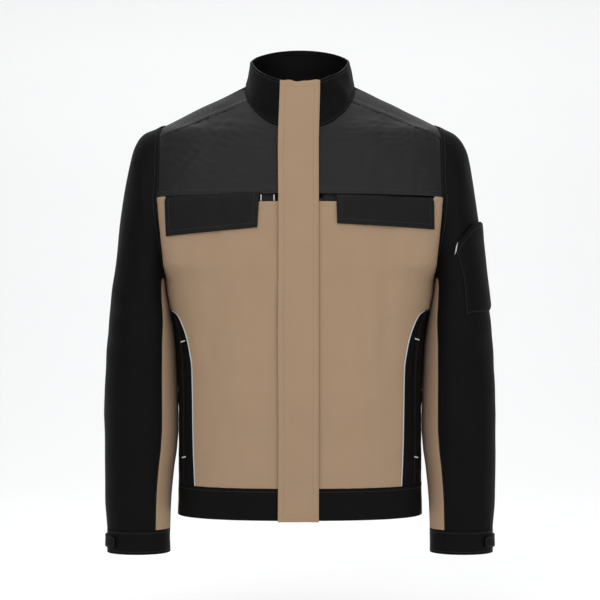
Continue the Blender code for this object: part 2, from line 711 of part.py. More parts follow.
def zip_pieces():
    for side, name in ((1, "left"), (-1, "right")):
        tape = CHAIN_INNER + CHAIN_WIDTH + 0.0004
        edges = sorted((side * tape, side * (tape + TAPE_WIDTH)))
        strip("zip_tape_" + name, edges[0], edges[1], ZIP_FOOT, ZIP_TOP + 0.006,
              -ZIP_DEPTH - TAPE_THICKNESS / 2, -ZIP_DEPTH + TAPE_THICKNESS / 2, "tape")
        edges = sorted((side * CHAIN_INNER, side * (CHAIN_INNER + CHAIN_WIDTH)))
        strip("zip_teeth_" + name, edges[0], edges[1], CHAIN_FOOT, ZIP_TOP - 0.0005,
              -ZIP_DEPTH - CHAIN_THICKNESS / 2, -ZIP_DEPTH + CHAIN_THICKNESS / 2, "zip_teeth", 24)
    turn = slider_frame()
    for side, name in ((1, "left"), (-1, "right")):
        bm = bmesh.new()
        at = arc_point(side * (CHAIN_INNER + CHAIN_WIDTH / 2), ZIP_TOP + 0.0015, -ZIP_DEPTH)
        add_box(bm, at, (CHAIN_WIDTH, CHAIN_THICKNESS, 0.003), turn)
        finish("zip_top_stop_" + name, bm, "zip_metal")
    bm = bmesh.new()
    add_box(bm, arc_point(0, ZIP_FOOT + ZIP_BOX_HEIGHT / 2, -ZIP_DEPTH),
            (2 * (CHAIN_INNER + CHAIN_WIDTH), CHAIN_THICKNESS * 1.6, ZIP_BOX_HEIGHT))
    finish("zip_box", bm, "zip_metal")

    centre = arc_point(0, SLIDER_Z, -ZIP_DEPTH)
    across, out, up = turn.col[0], turn.col[1], turn.col[2]
    reach = CHAIN_THICKNESS / 2 + 0.0004
    bm = bmesh.new()
    front_face = reach + SLIDER_PLATE
    add_box(bm, centre + out * (reach + SLIDER_PLATE / 2), (SLIDER_WIDTH, SLIDER_PLATE, SLIDER_LENGTH), turn)
    rear = bmesh.new()
    add_box(rear, centre - out * (reach + SLIDER_PLATE / 2),
            (SLIDER_WIDTH, SLIDER_PLATE, SLIDER_LENGTH), turn)
    web = bmesh.new()
    add_box(web, centre + up * SLIDER_LENGTH * 0.3,
            (SLIDER_WEB, reach * 2 + SLIDER_PLATE, SLIDER_LENGTH * 0.38), turn)
    gate = PULL_THICKNESS + 0.0010
    bars = []
    for end in (1, -1):
        bar = bmesh.new()
        add_box(bar, centre + up * end * BAIL_LENGTH / 2 + out * (front_face + gate / 2),
                (BAIL_WIRE, gate + SLIDER_PLATE, BAIL_WIRE), turn)
        bars.append(bar)
    top = bmesh.new()
    add_box(top, centre + out * (front_face + gate + BAIL_WIRE / 2),
            (BAIL_WIRE, BAIL_WIRE, BAIL_LENGTH + BAIL_WIRE), turn)
    base = finish("zip_slider", bm, "zip_metal")
    for i, extra in enumerate([rear, web, top] + bars):
        union(base, extra, "slider_cut_%d" % i)

    pivot = centre + out * (front_face + gate / 2)
    bm = bmesh.new()
    add_box(bm, pivot, (PULL_WIDTH, PULL_THICKNESS, 0.0012), turn)
    pull = finish("zip_pull", bm, "zip_metal", pivot)
    window = BAIL_LENGTH * 0.9
    for i, (x, low, high, wide) in enumerate((
            (PULL_WIDTH / 2 - 0.0005, -window - 0.001, 0.0002, 0.0010),
            (-PULL_WIDTH / 2 + 0.0005, -window - 0.001, 0.0002, 0.0010),
            (0.0, -PULL_LENGTH, -window, PULL_WIDTH))):
        extra = bmesh.new()
        add_box(extra, pivot + across * x + up * (low + high) / 2, (wide, PULL_THICKNESS, high - low), turn)
        union(pull, extra, "pull_cut_%d" % i)
    strip("zip_guard", -GUARD_WIDTH / 2, GUARD_WIDTH / 2, ZIP_FOOT, FRONT_NECK_Z - 0.01,
          -ZIP_DEPTH - 0.0052, -ZIP_DEPTH - 0.0040, "black")


def union(base, bm, name):
    """Join a closed shape to base with a Boolean."""
    bmesh.ops.recalc_face_normals(bm, faces=bm.faces)
    mesh = bpy.data.meshes.new(name)
    bm.to_mesh(mesh)
    bm.free()
    tool = bpy.data.objects.new(name, mesh)
    tool.hide_render = True
    tool.display_type = "WIRE"
    bpy.context.scene.collection.objects.link(tool)
    joined = base.modifiers.new(name, "BOOLEAN")
    joined.operation = "UNION"
    joined.object = tool


STORM_TOP = NECK_Z + COLLAR_SIDE_HEIGHT - COLLAR_FRONT_FALL + 0.004
STORM_SLOPE = 0.023
STORM_HINGE_Z = -0.36


def storm_pieces():
    origin = arc_point(STORM_LEFT, STORM_HINGE_Z, STORM_LIFT + STORM_THICKNESS)
    strip("storm_flap", STORM_RIGHT, STORM_LEFT, HEM_Z - 0.001, STORM_TOP, STORM_LIFT,
          STORM_LIFT + STORM_THICKNESS, "tan", 18, origin)
    edges = (STORM_RIGHT + 0.004, -FRONT_OPENING - 0.005)
    ends = (HEM_Z + 0.075, YOKE_Z - 0.010)
    strip("storm_hook_strip", edges[0], edges[1], ends[0], ends[1], STORM_LIFT - LAYER_GAP - PATCH,
          STORM_LIFT - LAYER_GAP, "hook", 14, origin)

    def loops(u, v):
        return front(-lerp(edges[0], edges[1], u), lerp(ends[0], ends[1], v), -1)

    sheet("storm_loop_strip", [(loops, steps(2), steps(14))], LAYER_GAP, LAYER_GAP + PATCH, "hook")


# ---------- chest flaps and pockets ----------
FLAPS = {
    "left": {"side": 1, "in_x": (0.0556, 0.0570), "out_x": (0.2060, 0.2068),
             "in_z": (-0.1816, -0.2275), "out_z": (-0.1870, -0.2357)},
    "right": {"side": -1, "in_x": (0.0622, 0.0654), "out_x": (0.2085, 0.2060),
              "in_z": (-0.1776, -0.2336), "out_z": (-0.1851, -0.2463)},
}


def flap_point(flap, u, v, out=0.0):
    """u 0 towards the zip, v 0 at the sewn top edge."""
    x = lerp(lerp(*flap["in_x"], v), lerp(*flap["out_x"], v), u)
    z = lerp(lerp(*flap["in_z"], v), lerp(*flap["out_z"], v), u)
    return pushed(x, z, out, flap["side"])


def flap_axis(flap):
    """Straight hinge line touching the outside of the flap's sewn edge."""
    reach = FLAP_LIFT + FLAP_THICKNESS + 0.0004
    low = flap_point(flap, 0.0, 0.0, reach)
    high = flap_point(flap, 1.0, 0.0, reach)
    along = (high - low).normalized()
    out = Vector((along.y, -along.x, 0)).normalized() * (1 if flap["side"] > 0 else -1)
    if out.y > 0:
        out = -out
    bulge = max((flap_point(flap, t, 0.0, reach) - low).dot(out) for t in steps(12))
    return (low + high) / 2 + out * bulge, along


def chest_pieces():
    for name, flap in FLAPS.items():
        side = flap["side"]
        origin = flap_axis(flap)[0]

        def skin(u, v, flap=flap):
            return flap_point(flap, u, v)

        sheet(name + "_chest_flap", [(skin, steps(8), steps(3))], FLAP_LIFT, FLAP_LIFT + FLAP_THICKNESS,
              "black", away_from_axis, origin)

        def patch(u, v, flap=flap):
            return flap_point(flap, lerp(0.35, 0.65, u), lerp(0.52, 0.88, v))

        sheet(name + "_flap_loop", [(patch, steps(3), steps(1))], LAYER_GAP, LAYER_GAP + PATCH, "hook")

        def bag(u, v, side=side):
            z = lerp(YOKE_Z - CHEST_BAG_DEPTH, YOKE_Z + 0.008, v)
            x = lerp(CHEST_BAG_IN, CHEST_BAG_OUT, u)
            return front(x, z, side)

        low = -CLOTH - INNER_GAP
        sheet(name + "_chest_pocket", [(bag, steps(7), steps(6))], low - BAG_THICKNESS, low, "black")
    for x, end in ((0.0599, "outer"), (0.0400, "inner")):
        bm = bmesh.new()
        at = pushed(x, YOKE_Z - POCKET_MOUTH / 2 - 0.001, -0.0010, -1)
        add_box(bm, at, (0.0018, TAB_THICKNESS, POCKET_MOUTH - 0.0026))
        finish("reflective_tab_" + end, bm, "reflective")


# ---------- sleeves ----------
SLEEVE_SPAN = 0.312          # the sleeves' widest half span
SLEEVE_CLEAR = 0.0018
CUFF_X = 0.2567


def sleeve_lines(s):
    """Outer and inner edge points (x, z) of the sleeve's ring at s."""
    drop = curve([(0, 0), (0.09, 0.06), (0.27, 0.26), (0.55, 0.57), (1, 1)], s)
    outer_z = TIP_Z - SLEEVE_LENGTH * drop
    cuff_out = CUFF_X + CUFF_HALF_WIDTH
    share = curve([(0, 0), (0.0675, 0.417), (0.138, 0.55), (0.253, 0.728), (0.361, 0.825),
                   (0.46, 0.903), (0.61, 0.98), (0.72, 1.0)], drop)
    outer_x = lerp(SHOULDER_HALF_WIDTH + ARMHOLE_GAP, SLEEVE_SPAN, share)
    outer_x = lerp(outer_x, cuff_out, curve([(0.72, 0), (0.94, 0.55), (1, 1)], drop))
    fall = s ** 1.5
    inner_z = lerp(ARMPIT_Z, CUFF_TOP_Z, fall)
    side = half_width(inner_z) + lerp(SEAM_GAP, SLEEVE_CLEAR, min(1.0, s * 8))
    inner_x = lerp(side, CUFF_X - CUFF_HALF_WIDTH,
                   curve([(0.6, 0), (0.68, 0.2), (0.75, 0.5), (0.87, 0.84), (1, 1)], fall))
    return outer_x, outer_z, inner_x, inner_z


def sleeve(psi, s, side=1):
    """psi 0 on the outer side, +90 degrees to the front."""
    outer_x, outer_z, inner_x, inner_z = sleeve_lines(s)
    power = 2 / curve([(0, 2.2), (0.3, 2.1), (1, 2.1)], s)
    cos = math.copysign(abs(math.cos(psi)) ** power, math.cos(psi))
    sin = math.copysign(abs(math.sin(psi)) ** power, math.sin(psi))
    x = (outer_x + inner_x) / 2 + (outer_x - inner_x) / 2 * cos
    z = (outer_z + inner_z) / 2 + (outer_z - inner_z) / 2 * cos
    hole = ARMHOLE_FRONT if sin > 0 else ARMHOLE_BACK
    depth = curve([(0, hole), (0.15, 0.076), (0.45, 0.069), (0.8, 0.057), (1, CUFF_HALF_DEPTH)], s)
    if s < 0.2:
        fit = (1 - s / 0.2) ** 2
        x += (half_width(z) + ARMHOLE_GAP - x) * fit
    y = -curve([(0, 0), (0.5, 0.004), (1, CUFF_FORWARD)], s) - depth * sin
    return Vector((side * x, y, z))


def under_seam(s):
    """Angle of the seam between outer and under-arm panel."""
    return math.radians(curve([(0, 166), (0.2, 140), (0.45, 128), (1, 126)], s))


def from_sleeve(side):
    return lambda p: Vector((p.x - side * CUFF_X, p.y, 0.0))


def sleeves():
    for side, name in ((1, "left"), (-1, "right")):
        edge = math.radians(0.5)
        rows = [0, 0.03, 0.07, 0.12, 0.18] + steps(9, 0.25, 1.0)

        def outer(u, v, side=side):
            limit = under_seam(v) - edge
            return sleeve(lerp(-limit, limit, u), v, side)

        def under(u, v, side=side):
            limit = under_seam(v) + edge
            return sleeve(lerp(limit, 2 * math.pi - limit, u), v, side)

        def cuff(u, v, side=side):
            psi = 2 * math.pi * u
            z = lerp(CUFF_LOW_Z, CUFF_TOP_Z - SEAM_GAP, v)
            at = sleeve(psi, 1.0, side)
            return Vector((at.x, at.y, z))

        sheet(name + "_sleeve_outer", [(outer, steps(14), rows)], -CLOTH, 0, "black", from_sleeve(side))
        sheet(name + "_sleeve_under", [(under, steps(6), rows)], -CLOTH, 0, "tan", from_sleeve(side))
        sheet(name + "_cuff", [(cuff, steps(24), steps(2))], -CUFF_THICKNESS, 0, "black",
              from_sleeve(side))

        middle = (CUFF_TOP_Z + CUFF_LOW_Z) / 2

        def tab(start, end, height):
            def point(u, v, side=side):
                at = sleeve(math.radians(lerp(start, end, u)), 1.0, side)
                return Vector((at.x, at.y, middle + height * (v - 0.5)))
            return point

        pivot = sleeve(math.radians(CUFF_TAB_END), 1.0, side)
        pivot = Vector((pivot.x, pivot.y, middle)) + (pivot - Vector((side * CUFF_X, pivot.y / 3, pivot.z))
                                                      ).normalized() * 0.0036
        sheet(name + "_cuff_tab", [(tab(CUFF_TAB_END, CUFF_TAB_START, CUFF_TAB_HEIGHT), steps(10), steps(2))],
              0.0014, 0.0032, "black", from_sleeve(side), pivot)
        sheet(name + "_tab_loop", [(tab(CUFF_TAB_START - 60, CUFF_TAB_START - 4, 0.013), steps(5), steps(1))],
              LAYER_GAP, LAYER_GAP + PATCH, "hook", from_sleeve(side))


def sleeve_pocket():
    def point(u, v):
        psi = math.radians(lerp(80, -8, u))
        top = lerp(0.182, 0.272, u)
        foot = lerp(0.386, 0.452, u)
        return sleeve(psi, lerp(foot, top, v), 1)

    low = LAYER_GAP * 4
    sheet("sleeve_pocket", [(point, steps(8), steps(6))], low, low + BAG_THICKNESS, "black", from_sleeve(1))

    def tab(u, v):
        return point(lerp(0.005, 0.05, u), lerp(0.90, 0.985, v))

    low += BAG_THICKNESS + LAYER_GAP
    sheet("sleeve_pocket_tab", [(tab, steps(1), steps(2))], low, low + TAB_THICKNESS, "reflective",
          from_sleeve(1))


def build():
    for old in list(bpy.data.objects):
        bpy.data.objects.remove(old, do_unlink=True)
    for side, name in ((1, "left"), (-1, "right")):
        front_panels(side, name)
        hip_panels(side, name)
    back_pieces()
    bartacks()
    waistband()
    collar()
    zip_pieces()
    storm_pieces()
    chest_pieces()
    sleeves()
    sleeve_pocket()


build()
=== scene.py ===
import math
import bmesh
import bpy
import numpy as np
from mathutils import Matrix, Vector


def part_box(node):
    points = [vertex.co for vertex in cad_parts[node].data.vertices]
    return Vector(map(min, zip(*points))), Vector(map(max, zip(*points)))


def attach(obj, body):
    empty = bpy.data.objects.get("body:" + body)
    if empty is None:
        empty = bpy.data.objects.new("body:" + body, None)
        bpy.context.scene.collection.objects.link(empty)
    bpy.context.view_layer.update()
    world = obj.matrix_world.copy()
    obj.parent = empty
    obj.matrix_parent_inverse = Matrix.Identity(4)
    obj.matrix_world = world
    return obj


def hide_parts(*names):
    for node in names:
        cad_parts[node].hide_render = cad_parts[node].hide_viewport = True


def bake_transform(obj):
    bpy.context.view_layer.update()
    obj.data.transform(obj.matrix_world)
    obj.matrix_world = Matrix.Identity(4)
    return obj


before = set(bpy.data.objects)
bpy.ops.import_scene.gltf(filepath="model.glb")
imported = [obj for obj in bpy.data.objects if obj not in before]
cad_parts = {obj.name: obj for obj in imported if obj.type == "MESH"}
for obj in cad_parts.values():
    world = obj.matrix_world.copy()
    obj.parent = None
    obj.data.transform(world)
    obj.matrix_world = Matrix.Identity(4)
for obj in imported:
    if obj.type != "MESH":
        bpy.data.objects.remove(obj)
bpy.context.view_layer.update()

dice = np.random.default_rng(11)

# camera: level with the middle of the jacket, straight at its front
view = dict(distance=3.0, lens=112.5, aimZ=-0.345)
camera = bpy.data.cameras.new("camera")
camera.lens = view["lens"]
camera.sensor_width = 36.0
cameraObject = bpy.data.objects.new("camera", camera)
cameraObject.location = (0.0, -view["distance"], view["aimZ"])
cameraObject.rotation_euler = (math.radians(90), 0, 0)
bpy.context.scene.collection.objects.link(cameraObject)
bpy.context.scene.camera = cameraObject
bpy.context.scene.view_settings.view_transform = "Standard"
print("camera ready")


# sizes of the made-up jacket, from the frame where a node's box gives them
def lowOf(node):
    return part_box(node)[0]


def highOf(node):
    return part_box(node)[1]


body = dict(
    hemZ=lowOf("left_waistband").z,
    waistZ=lowOf("left_front_panel").z - 0.0004,
    yokeZ=-0.1806,
    yokeSlope=0.022,
    neckZ=-0.0035,
    neckHalf=0.087,
    neckBack=0.078,
    neckRise=0.0035,
    neckDrop=0.0785,
    tipZ=-0.070,                  # shoulder point, top of the armhole
    shoulderHalf=highOf("back_yoke").x - 0.0085,
    shoulderFall=0.0213,          # shoulder seam at the armhole, below the tip
    armhole=0.251,
    armholeFront=0.075,
    armholeBack=0.080,
    chestHalf=0.207,
    armpitHalf=0.2135,
    waistHalf=0.1935,
    hemHalf=0.1946,
    backDepth=0.138,
    frontDepth=0.133,
    frontRadius=2.2,              # the zip line is one long arc
    frontDrop=0.420,
    backYokeZ=-0.175,
    opening=0.0090,               # cloth edge from the centre line
    pocketMouth=0.012,
)
armpitZ = body["tipZ"] - body["armhole"]
frontNeckZ = body["neckZ"] - body["neckDrop"]
sideSeam = armpitZ - body["waistZ"]
cloth = dict(thick=0.0015, roll=0.0007)
halves = ((1, "left"), (-1, "right"))


# drafting helpers
def lerp(a, b, t):
    return a + (b - a) * t


def curve(points, t):
    knots = np.array(sorted(points), float)
    x = knots[:, 0]
    y = knots[:, 1]
    t = np.clip(np.asarray(t, float), x[0], x[-1])
    rise = np.diff(y) / np.diff(x)
    both = rise[:-1] * rise[1:]
    total = np.where(both > 0, rise[:-1] + rise[1:], 1.0)
    slope = np.concatenate(([rise[0]], np.where(both > 0, 2 * both / total, 0.0), [rise[-1]]))
    i = np.clip(np.searchsorted(x, t, side="right") - 1, 0, len(x) - 2)
    h = x[i + 1] - x[i]
    u = (t - x[i]) / h
    a = (2 * u**3 - 3 * u**2 + 1) * y[i] + (u**3 - 2 * u**2 + u) * h * slope[i]
    b = (3 * u**2 - 2 * u**3) * y[i + 1] + (u**3 - u**2) * h * slope[i + 1]
    return a + b


def smooth(low, high, t):
    t = np.clip((np.asarray(t, float) - low) / (high - low), 0, 1)
    return t * t * (3 - 2 * t)


def hill(middle, width, t):
    return np.exp(-((np.asarray(t, float) - middle) / width) ** 2)


def noise(seed, size, x, y, waves=7):
    # soft random waviness, about -1 to 1, the same each run
    own = np.random.default_rng(seed)
    total = 0.0
    for k in range(waves):
        turn = own.uniform(0, 2 * math.pi)
        long = size * own.uniform(0.6, 1.7)
        start = own.uniform(0, 2 * math.pi)
        total = total + np.sin((x * math.cos(turn) + y * math.sin(turn)) * 2 * math.pi / long + start)
    return total / math.sqrt(waves) / 1.2


# the body's shape, slice by slice
def halfWidth(z):
    chest = body["armpitHalf"]
    tip = body["shoulderHalf"]
    waist = body["waistHalf"]
    hole = body["armhole"]
    slope = (z - body["tipZ"]) / (body["neckZ"] - body["tipZ"])
    return np.where(z > body["tipZ"], lerp(tip, body["neckHalf"], np.minimum(slope, 1.0)), curve([
        (body["hemZ"], body["hemHalf"]),
        (body["waistZ"], waist),
        (body["waistZ"] + sideSeam * 0.27, waist),
        (armpitZ - sideSeam * 0.46, waist + 0.002),
        (armpitZ - sideSeam * 0.27, body["chestHalf"] - 0.008),
        (armpitZ - sideSeam * 0.14, body["chestHalf"] - 0.001),
        (armpitZ, chest),
        (armpitZ + hole * 0.17, lerp(chest, tip, 0.25)),
        (armpitZ + hole * 0.30, lerp(chest, tip, 0.60)),
        (armpitZ + hole * 0.54, tip + 0.0012),
        (armpitZ + hole * 0.75, tip - 0.0006),
        (body["tipZ"], tip),
    ], z))


def armholeRound(z):
    middle = (body["tipZ"] + armpitZ) / 2
    part = np.minimum(1.0, np.abs(z - middle) / (body["armhole"] / 2))
    return (1 - part**2.2) ** (1 / 2.2) * np.where(z < middle, 1 - smooth(0.72, 1.0, part), 1.0)


def frontArc(z):
    radius = body["frontRadius"]
    return body["frontDepth"] - radius + np.sqrt(radius**2 - (z + body["frontDrop"]) ** 2)


def frontDepth(z):
    base = frontArc(body["yokeZ"] + 0.04)
    drop = body["neckDrop"]
    high = curve([
        (body["neckZ"], 0.0),
        (body["neckZ"] - drop * 0.33, base * 0.37),
        (body["neckZ"] - drop * 0.69, base * 0.67),
        (frontNeckZ, base * 0.87),
        (frontNeckZ - 0.028, base * 0.94),
        (body["yokeZ"] + 0.04, base),
    ], z)
    return np.where(z > body["yokeZ"] + 0.04, high, frontArc(z))


def backDepth(z):
    neck = body["neckBack"]
    deep = body["backDepth"]
    return curve([
        (body["neckZ"], neck),
        (body["neckZ"] - 0.03, lerp(neck, deep, 0.33)),
        (body["tipZ"] - 0.01, lerp(neck, deep, 0.65)),
        (body["tipZ"] - 0.07, lerp(neck, deep, 0.90)),
        (body["tipZ"] - 0.15, deep),
        (armpitZ, deep - 0.003),
        (armpitZ - sideSeam * 0.45, deep - 0.014),
        (body["waistZ"], deep - 0.014),
        (body["hemZ"], deep - 0.011),
    ], z)


def squareness(z):
    return curve([(body["waistZ"], 2.45), (armpitZ, 2.35), (body["yokeZ"], 2.2), (body["tipZ"], 2.0)], z)


def stack(x, y, z):
    return np.stack(np.broadcast_arrays(x, y, z), axis=-1)


def torso(phi, z, side=1, behind=False):
    phi, z = np.broadcast_arrays(np.asarray(phi, float), np.asarray(z, float))
    power = 2 / squareness(z)
    across = np.clip(np.sin(phi), 0, None) ** power
    along = np.clip(np.cos(phi), 0, None) ** power
    x = halfWidth(z) * across
    if behind:
        edge = body["armholeBack"] * armholeRound(z)
        y = edge + (backDepth(z) - edge) * along
        high = np.clip((z - body["backYokeZ"]) / (body["neckZ"] - body["backYokeZ"]), 0, 1)
        z = z + body["neckRise"] * along**2 * high**2
    else:
        edge = -body["armholeFront"] * armholeRound(z)
        y = edge - (frontDepth(z) + edge) * along
        flat = (frontArc(z) - frontDepth(z)) * np.exp(-((x / 0.05) ** 2))
        y = y - np.where(z < body["neckZ"] - 0.01, flat, 0.0)
    return stack(side * x, y, z)


def phiAt(x, z):
    share = np.clip(np.asarray(x, float) / halfWidth(z), 0, 1)
    return np.arcsin(share ** (squareness(z) / 2))


def front(x, z, side=1):
    return torso(phiAt(x, z), z, side)


def pushed(x, z, out, side=1):
    step = 0.002
    phi = np.clip(phiAt(x, z), 0.0, math.pi / 2 - 0.011)
    along = torso(phi + 0.01, z, side) - torso(np.maximum(phi - 0.01, 0), z, side)
    up = torso(phi, z + step, side) - torso(phi, z - step, side)
    normal = unit(np.cross(along, up))
    normal = normal * np.where(normal[..., 1:2] > 0, -1.0, 1.0)
    return front(x, z, side) + normal * np.asarray(out)[..., None]


def unit(a):
    return a / np.maximum(np.linalg.norm(a, axis=-1, keepdims=True), 1e-12)


def neckSeam(theta):
    x = body["neckHalf"] * np.sin(theta)
    return x, body["neckZ"] - body["neckDrop"] * np.maximum(np.cos(theta), 0)


def neckPoint(theta):
    x, z = neckSeam(theta)
    share = np.clip(x / body["neckHalf"], 0, 1)
    rear = torso(np.arcsin(share), body["neckZ"] + 0 * z, 1, True)
    return np.where((theta <= math.pi / 2)[..., None], front(x, z), rear)


def yokeEdge(x):
    return body["yokeZ"] - body["yokeSlope"] * x


seamNeckAngle = math.radians(68.6)   # where the forward shoulder seam meets the neck
pipingTop = armpitZ - sideSeam * 0.128


def shoulderSeam(s):
    x0, z0 = neckSeam(np.asarray(seamNeckAngle))
    z1 = body["tipZ"] - body["shoulderFall"]
    return lerp(x0, halfWidth(z1), s), lerp(z0, z1, s)


def shoulderLine(s):
    x, z = shoulderSeam(s)
    return phiAt(x, z), z


def pipingEdge(z, side=1):
    inner = body["chestHalf"] * 0.81 - (0.0068 if side > 0 else 0.0008)
    return curve([
        (body["waistZ"] - 0.001, inner - 0.0035),
        (body["waistZ"] + sideSeam * 0.2, inner - 0.001),
        (armpitZ - sideSeam * 0.42, inner + 0.001),
        (armpitZ - sideSeam * 0.32, inner + 0.0055),
        (armpitZ - sideSeam * 0.265, inner + 0.0095),
        (armpitZ - sideSeam * 0.21, inner + 0.0155),
        (pipingTop - sideSeam * 0.02, inner + 0.0260),
        (pipingTop, inner + 0.0360),
    ], z)


def slitEdge(z, side=1):
    share = curve([(body["waistZ"], 0.58), (pipingTop, 0.45)], z)
    return lerp(pipingEdge(z, side), halfWidth(z), share)


# cloth and metal
def nodeOf(tree, kind, **values):
    made = tree.nodes.new(kind)
    for key, value in values.items():
        if key in made.inputs:
            made.inputs[key].default_value = value
        else:
            setattr(made, key, value)
    return made


def dress(tree, dark, light, tone, height, rough, bump, deep):
    # colour between two shades, a range of roughness and a fine relief
    shader = tree.nodes["Principled BSDF"]
    colour = nodeOf(tree, "ShaderNodeMix", data_type="RGBA")
    colour.inputs[6].default_value = (*dark, 1)
    colour.inputs[7].default_value = (*light, 1)
    tree.links.new(tone, colour.inputs[0])
    tree.links.new(colour.outputs[2], shader.inputs["Base Color"])
    soft = nodeOf(tree, "ShaderNodeMapRange")
    soft.inputs["To Min"].default_value = rough[0]
    soft.inputs["To Max"].default_value = rough[1]
    tree.links.new(height, soft.inputs["Value"])
    tree.links.new(soft.outputs[0], shader.inputs["Roughness"])
    relief = nodeOf(tree, "ShaderNodeBump", Strength=bump, Distance=deep)
    tree.links.new(height, relief.inputs["Height"])
    tree.links.new(relief.outputs["Normal"], shader.inputs["Normal"])


def wovenCloth(name, dark, light, twill=0.0016, rough=0.8, sheen=0.2, bump=0.25, specular=0.3):
    made = bpy.data.materials.new(name)
    made.use_nodes = True
    tree = made.node_tree
    shader = tree.nodes["Principled BSDF"]
    shader.inputs["Sheen Weight"].default_value = sheen
    shader.inputs["Sheen Roughness"].default_value = 0.5
    shader.inputs["Specular IOR Level"].default_value = specular
    place = nodeOf(tree, "ShaderNodeUVMap")
    place.uv_map = "cloth"
    turn = nodeOf(tree, "ShaderNodeMapping")
    turn.inputs["Rotation"].default_value = (0, 0, math.radians(58))
    tree.links.new(place.outputs["UV"], turn.inputs["Vector"])
    ribs = nodeOf(tree, "ShaderNodeTexWave", Scale=0.314 / twill, Distortion=0.6)
    ribs.inputs["Detail"].default_value = 1.0
    ribs.inputs["Detail Scale"].default_value = 1.5
    tree.links.new(turn.outputs["Vector"], ribs.inputs["Vector"])
    threads = nodeOf(tree, "ShaderNodeTexNoise", Scale=900.0, Detail=2.0)
    tree.links.new(place.outputs["UV"], threads.inputs["Vector"])
    shade = nodeOf(tree, "ShaderNodeTexNoise", Scale=14.0, Detail=4.0, Roughness=0.6)
    tree.links.new(place.outputs["UV"], shade.inputs["Vector"])
    height = nodeOf(tree, "ShaderNodeMix", data_type="FLOAT")
    height.inputs[0].default_value = 0.35
    tree.links.new(ribs.outputs["Fac"], height.inputs[2])
    tree.links.new(threads.outputs["Fac"], height.inputs[3])
    blend = nodeOf(tree, "ShaderNodeMath", operation="MULTIPLY_ADD")
    blend.inputs[1].default_value = 0.45
    tree.links.new(height.outputs[0], blend.inputs[0])
    spread = nodeOf(tree, "ShaderNodeMath", operation="MULTIPLY_ADD")
    spread.inputs[1].default_value = 0.55
    tree.links.new(shade.outputs["Fac"], spread.inputs[0])
    spread.inputs[2].default_value = 0.0
    tree.links.new(spread.outputs[0], blend.inputs[2])
    ends = (rough - 0.06, rough + 0.06)
    dress(tree, dark, light, blend.outputs[0], height.outputs[0], ends, bump, 0.0003)
    return made


def plainFinish(name, dark, light, rough, metal=0.0, size=400.0, bump=0.1, stretch=(1, 1, 1)):
    # hard and narrow parts: fine speckle in colour, roughness and height, placed by the part itself
    made = bpy.data.materials.new(name)
    made.use_nodes = True
    tree = made.node_tree
    shader = tree.nodes["Principled BSDF"]
    shader.inputs["Metallic"].default_value = metal
    place = nodeOf(tree, "ShaderNodeTexCoord")
    turn = nodeOf(tree, "ShaderNodeMapping")
    turn.inputs["Scale"].default_value = stretch
    tree.links.new(place.outputs["Object"], turn.inputs["Vector"])
    grain = nodeOf(tree, "ShaderNodeTexNoise", Scale=size, Detail=3.0, Roughness=0.6)
    tree.links.new(turn.outputs["Vector"], grain.inputs["Vector"])
    grey = grain.outputs["Fac"]
    dress(tree, dark, light, grey, grey, (max(0.05, rough - 0.08), min(1.0, rough + 0.08)), bump, 0.0002)
    return made


tanTwill = wovenCloth("tanTwill", (0.290, 0.196, 0.123), (0.366, 0.251, 0.162), rough=0.86, sheen=0.03,
                      specular=0.12)
blackTwill = wovenCloth("blackTwill", (0.0012, 0.0012, 0.0013), (0.0042, 0.0042, 0.0044), rough=0.62,
                        sheen=0.0, specular=0.075)
# the chest and back yokes: the same black twill made lighter, painted light standing in for the top light
# on the up-facing shoulders and chest
yokeTwillPaintedTopLight = wovenCloth("yokeTwillPaintedTopLight", (0.0058, 0.0058, 0.0060), (0.0128, 0.0128, 0.0131), rough=0.58,
                       sheen=0.0, specular=0.20)
# the chest flaps: the same black twill made a little lighter, painted light standing in for the top light
# falling on them
flapTwillPaintedLight = wovenCloth("flapTwillPaintedLight", (0.0038, 0.0038, 0.0040), (0.0082, 0.0082, 0.0085), rough=0.62,
                       sheen=0.0, specular=0.13)
liningCloth = wovenCloth("liningCloth", (0.010, 0.010, 0.011), (0.018, 0.018, 0.019), twill=0.0009,
                         rough=0.85, sheen=0.05, bump=0.12)
tanThread = plainFinish("tanThread", (0.27, 0.185, 0.115), (0.36, 0.255, 0.165), 0.6, size=2500, bump=0.3)
blackThread = plainFinish("blackThread", (0.012, 0.012, 0.013), (0.026, 0.026, 0.028), 0.5, size=2500,
                          bump=0.3)
whiteThread = plainFinish("whiteThread", (0.52, 0.52, 0.50), (0.72, 0.72, 0.70), 0.6, size=2500, bump=0.4)
reflectiveTape = plainFinish("reflectiveTape", (0.36, 0.37, 0.38), (0.58, 0.59, 0.60), 0.34, metal=0.3,
                             size=1800, bump=0.25)
zipTape = plainFinish("zipTape", (0.007, 0.007, 0.007), (0.020, 0.020, 0.021), 0.85, size=1800, bump=0.5,
                      stretch=(1, 1, 3))
zipTeeth = plainFinish("zipTeeth", (0.010, 0.010, 0.010), (0.022, 0.022, 0.023), 0.38, size=900, bump=0.05)
zipMetal = plainFinish("zipMetal", (0.13, 0.13, 0.135), (0.24, 0.24, 0.245), 0.32, metal=1.0, size=1400)
gripTape = plainFinish("gripTape", (0.006, 0.006, 0.006), (0.024, 0.024, 0.025), 0.9, size=3200, bump=1.0)
labelCloth = plainFinish("labelCloth", (0.42, 0.42, 0.40), (0.58, 0.58, 0.56), 0.7, size=1600, bump=0.4)
print("finishes ready")


# sewing: closed cloth shells and rows of stitches
def cutRows(length, fine=0.0009, band=0.0095, step=0.0032):
    # shares 0..1 along a length: close together beside both edges, wider in between
    edge = [0.0, 0.00018, 0.0004, 0.0007]
    edge += list(np.arange(0.0007 + fine, band, fine))
    edge = [d for d in edge if d < length / 2 - 0.0002]
    start = edge[-1]
    middle = length - 2 * start
    count = max(1, int(round(middle / step)))
    inner = [start + middle * k / count for k in range(1, count)]
    rows = edge + inner + [length - d for d in reversed(edge)]
    return np.array(rows) / length


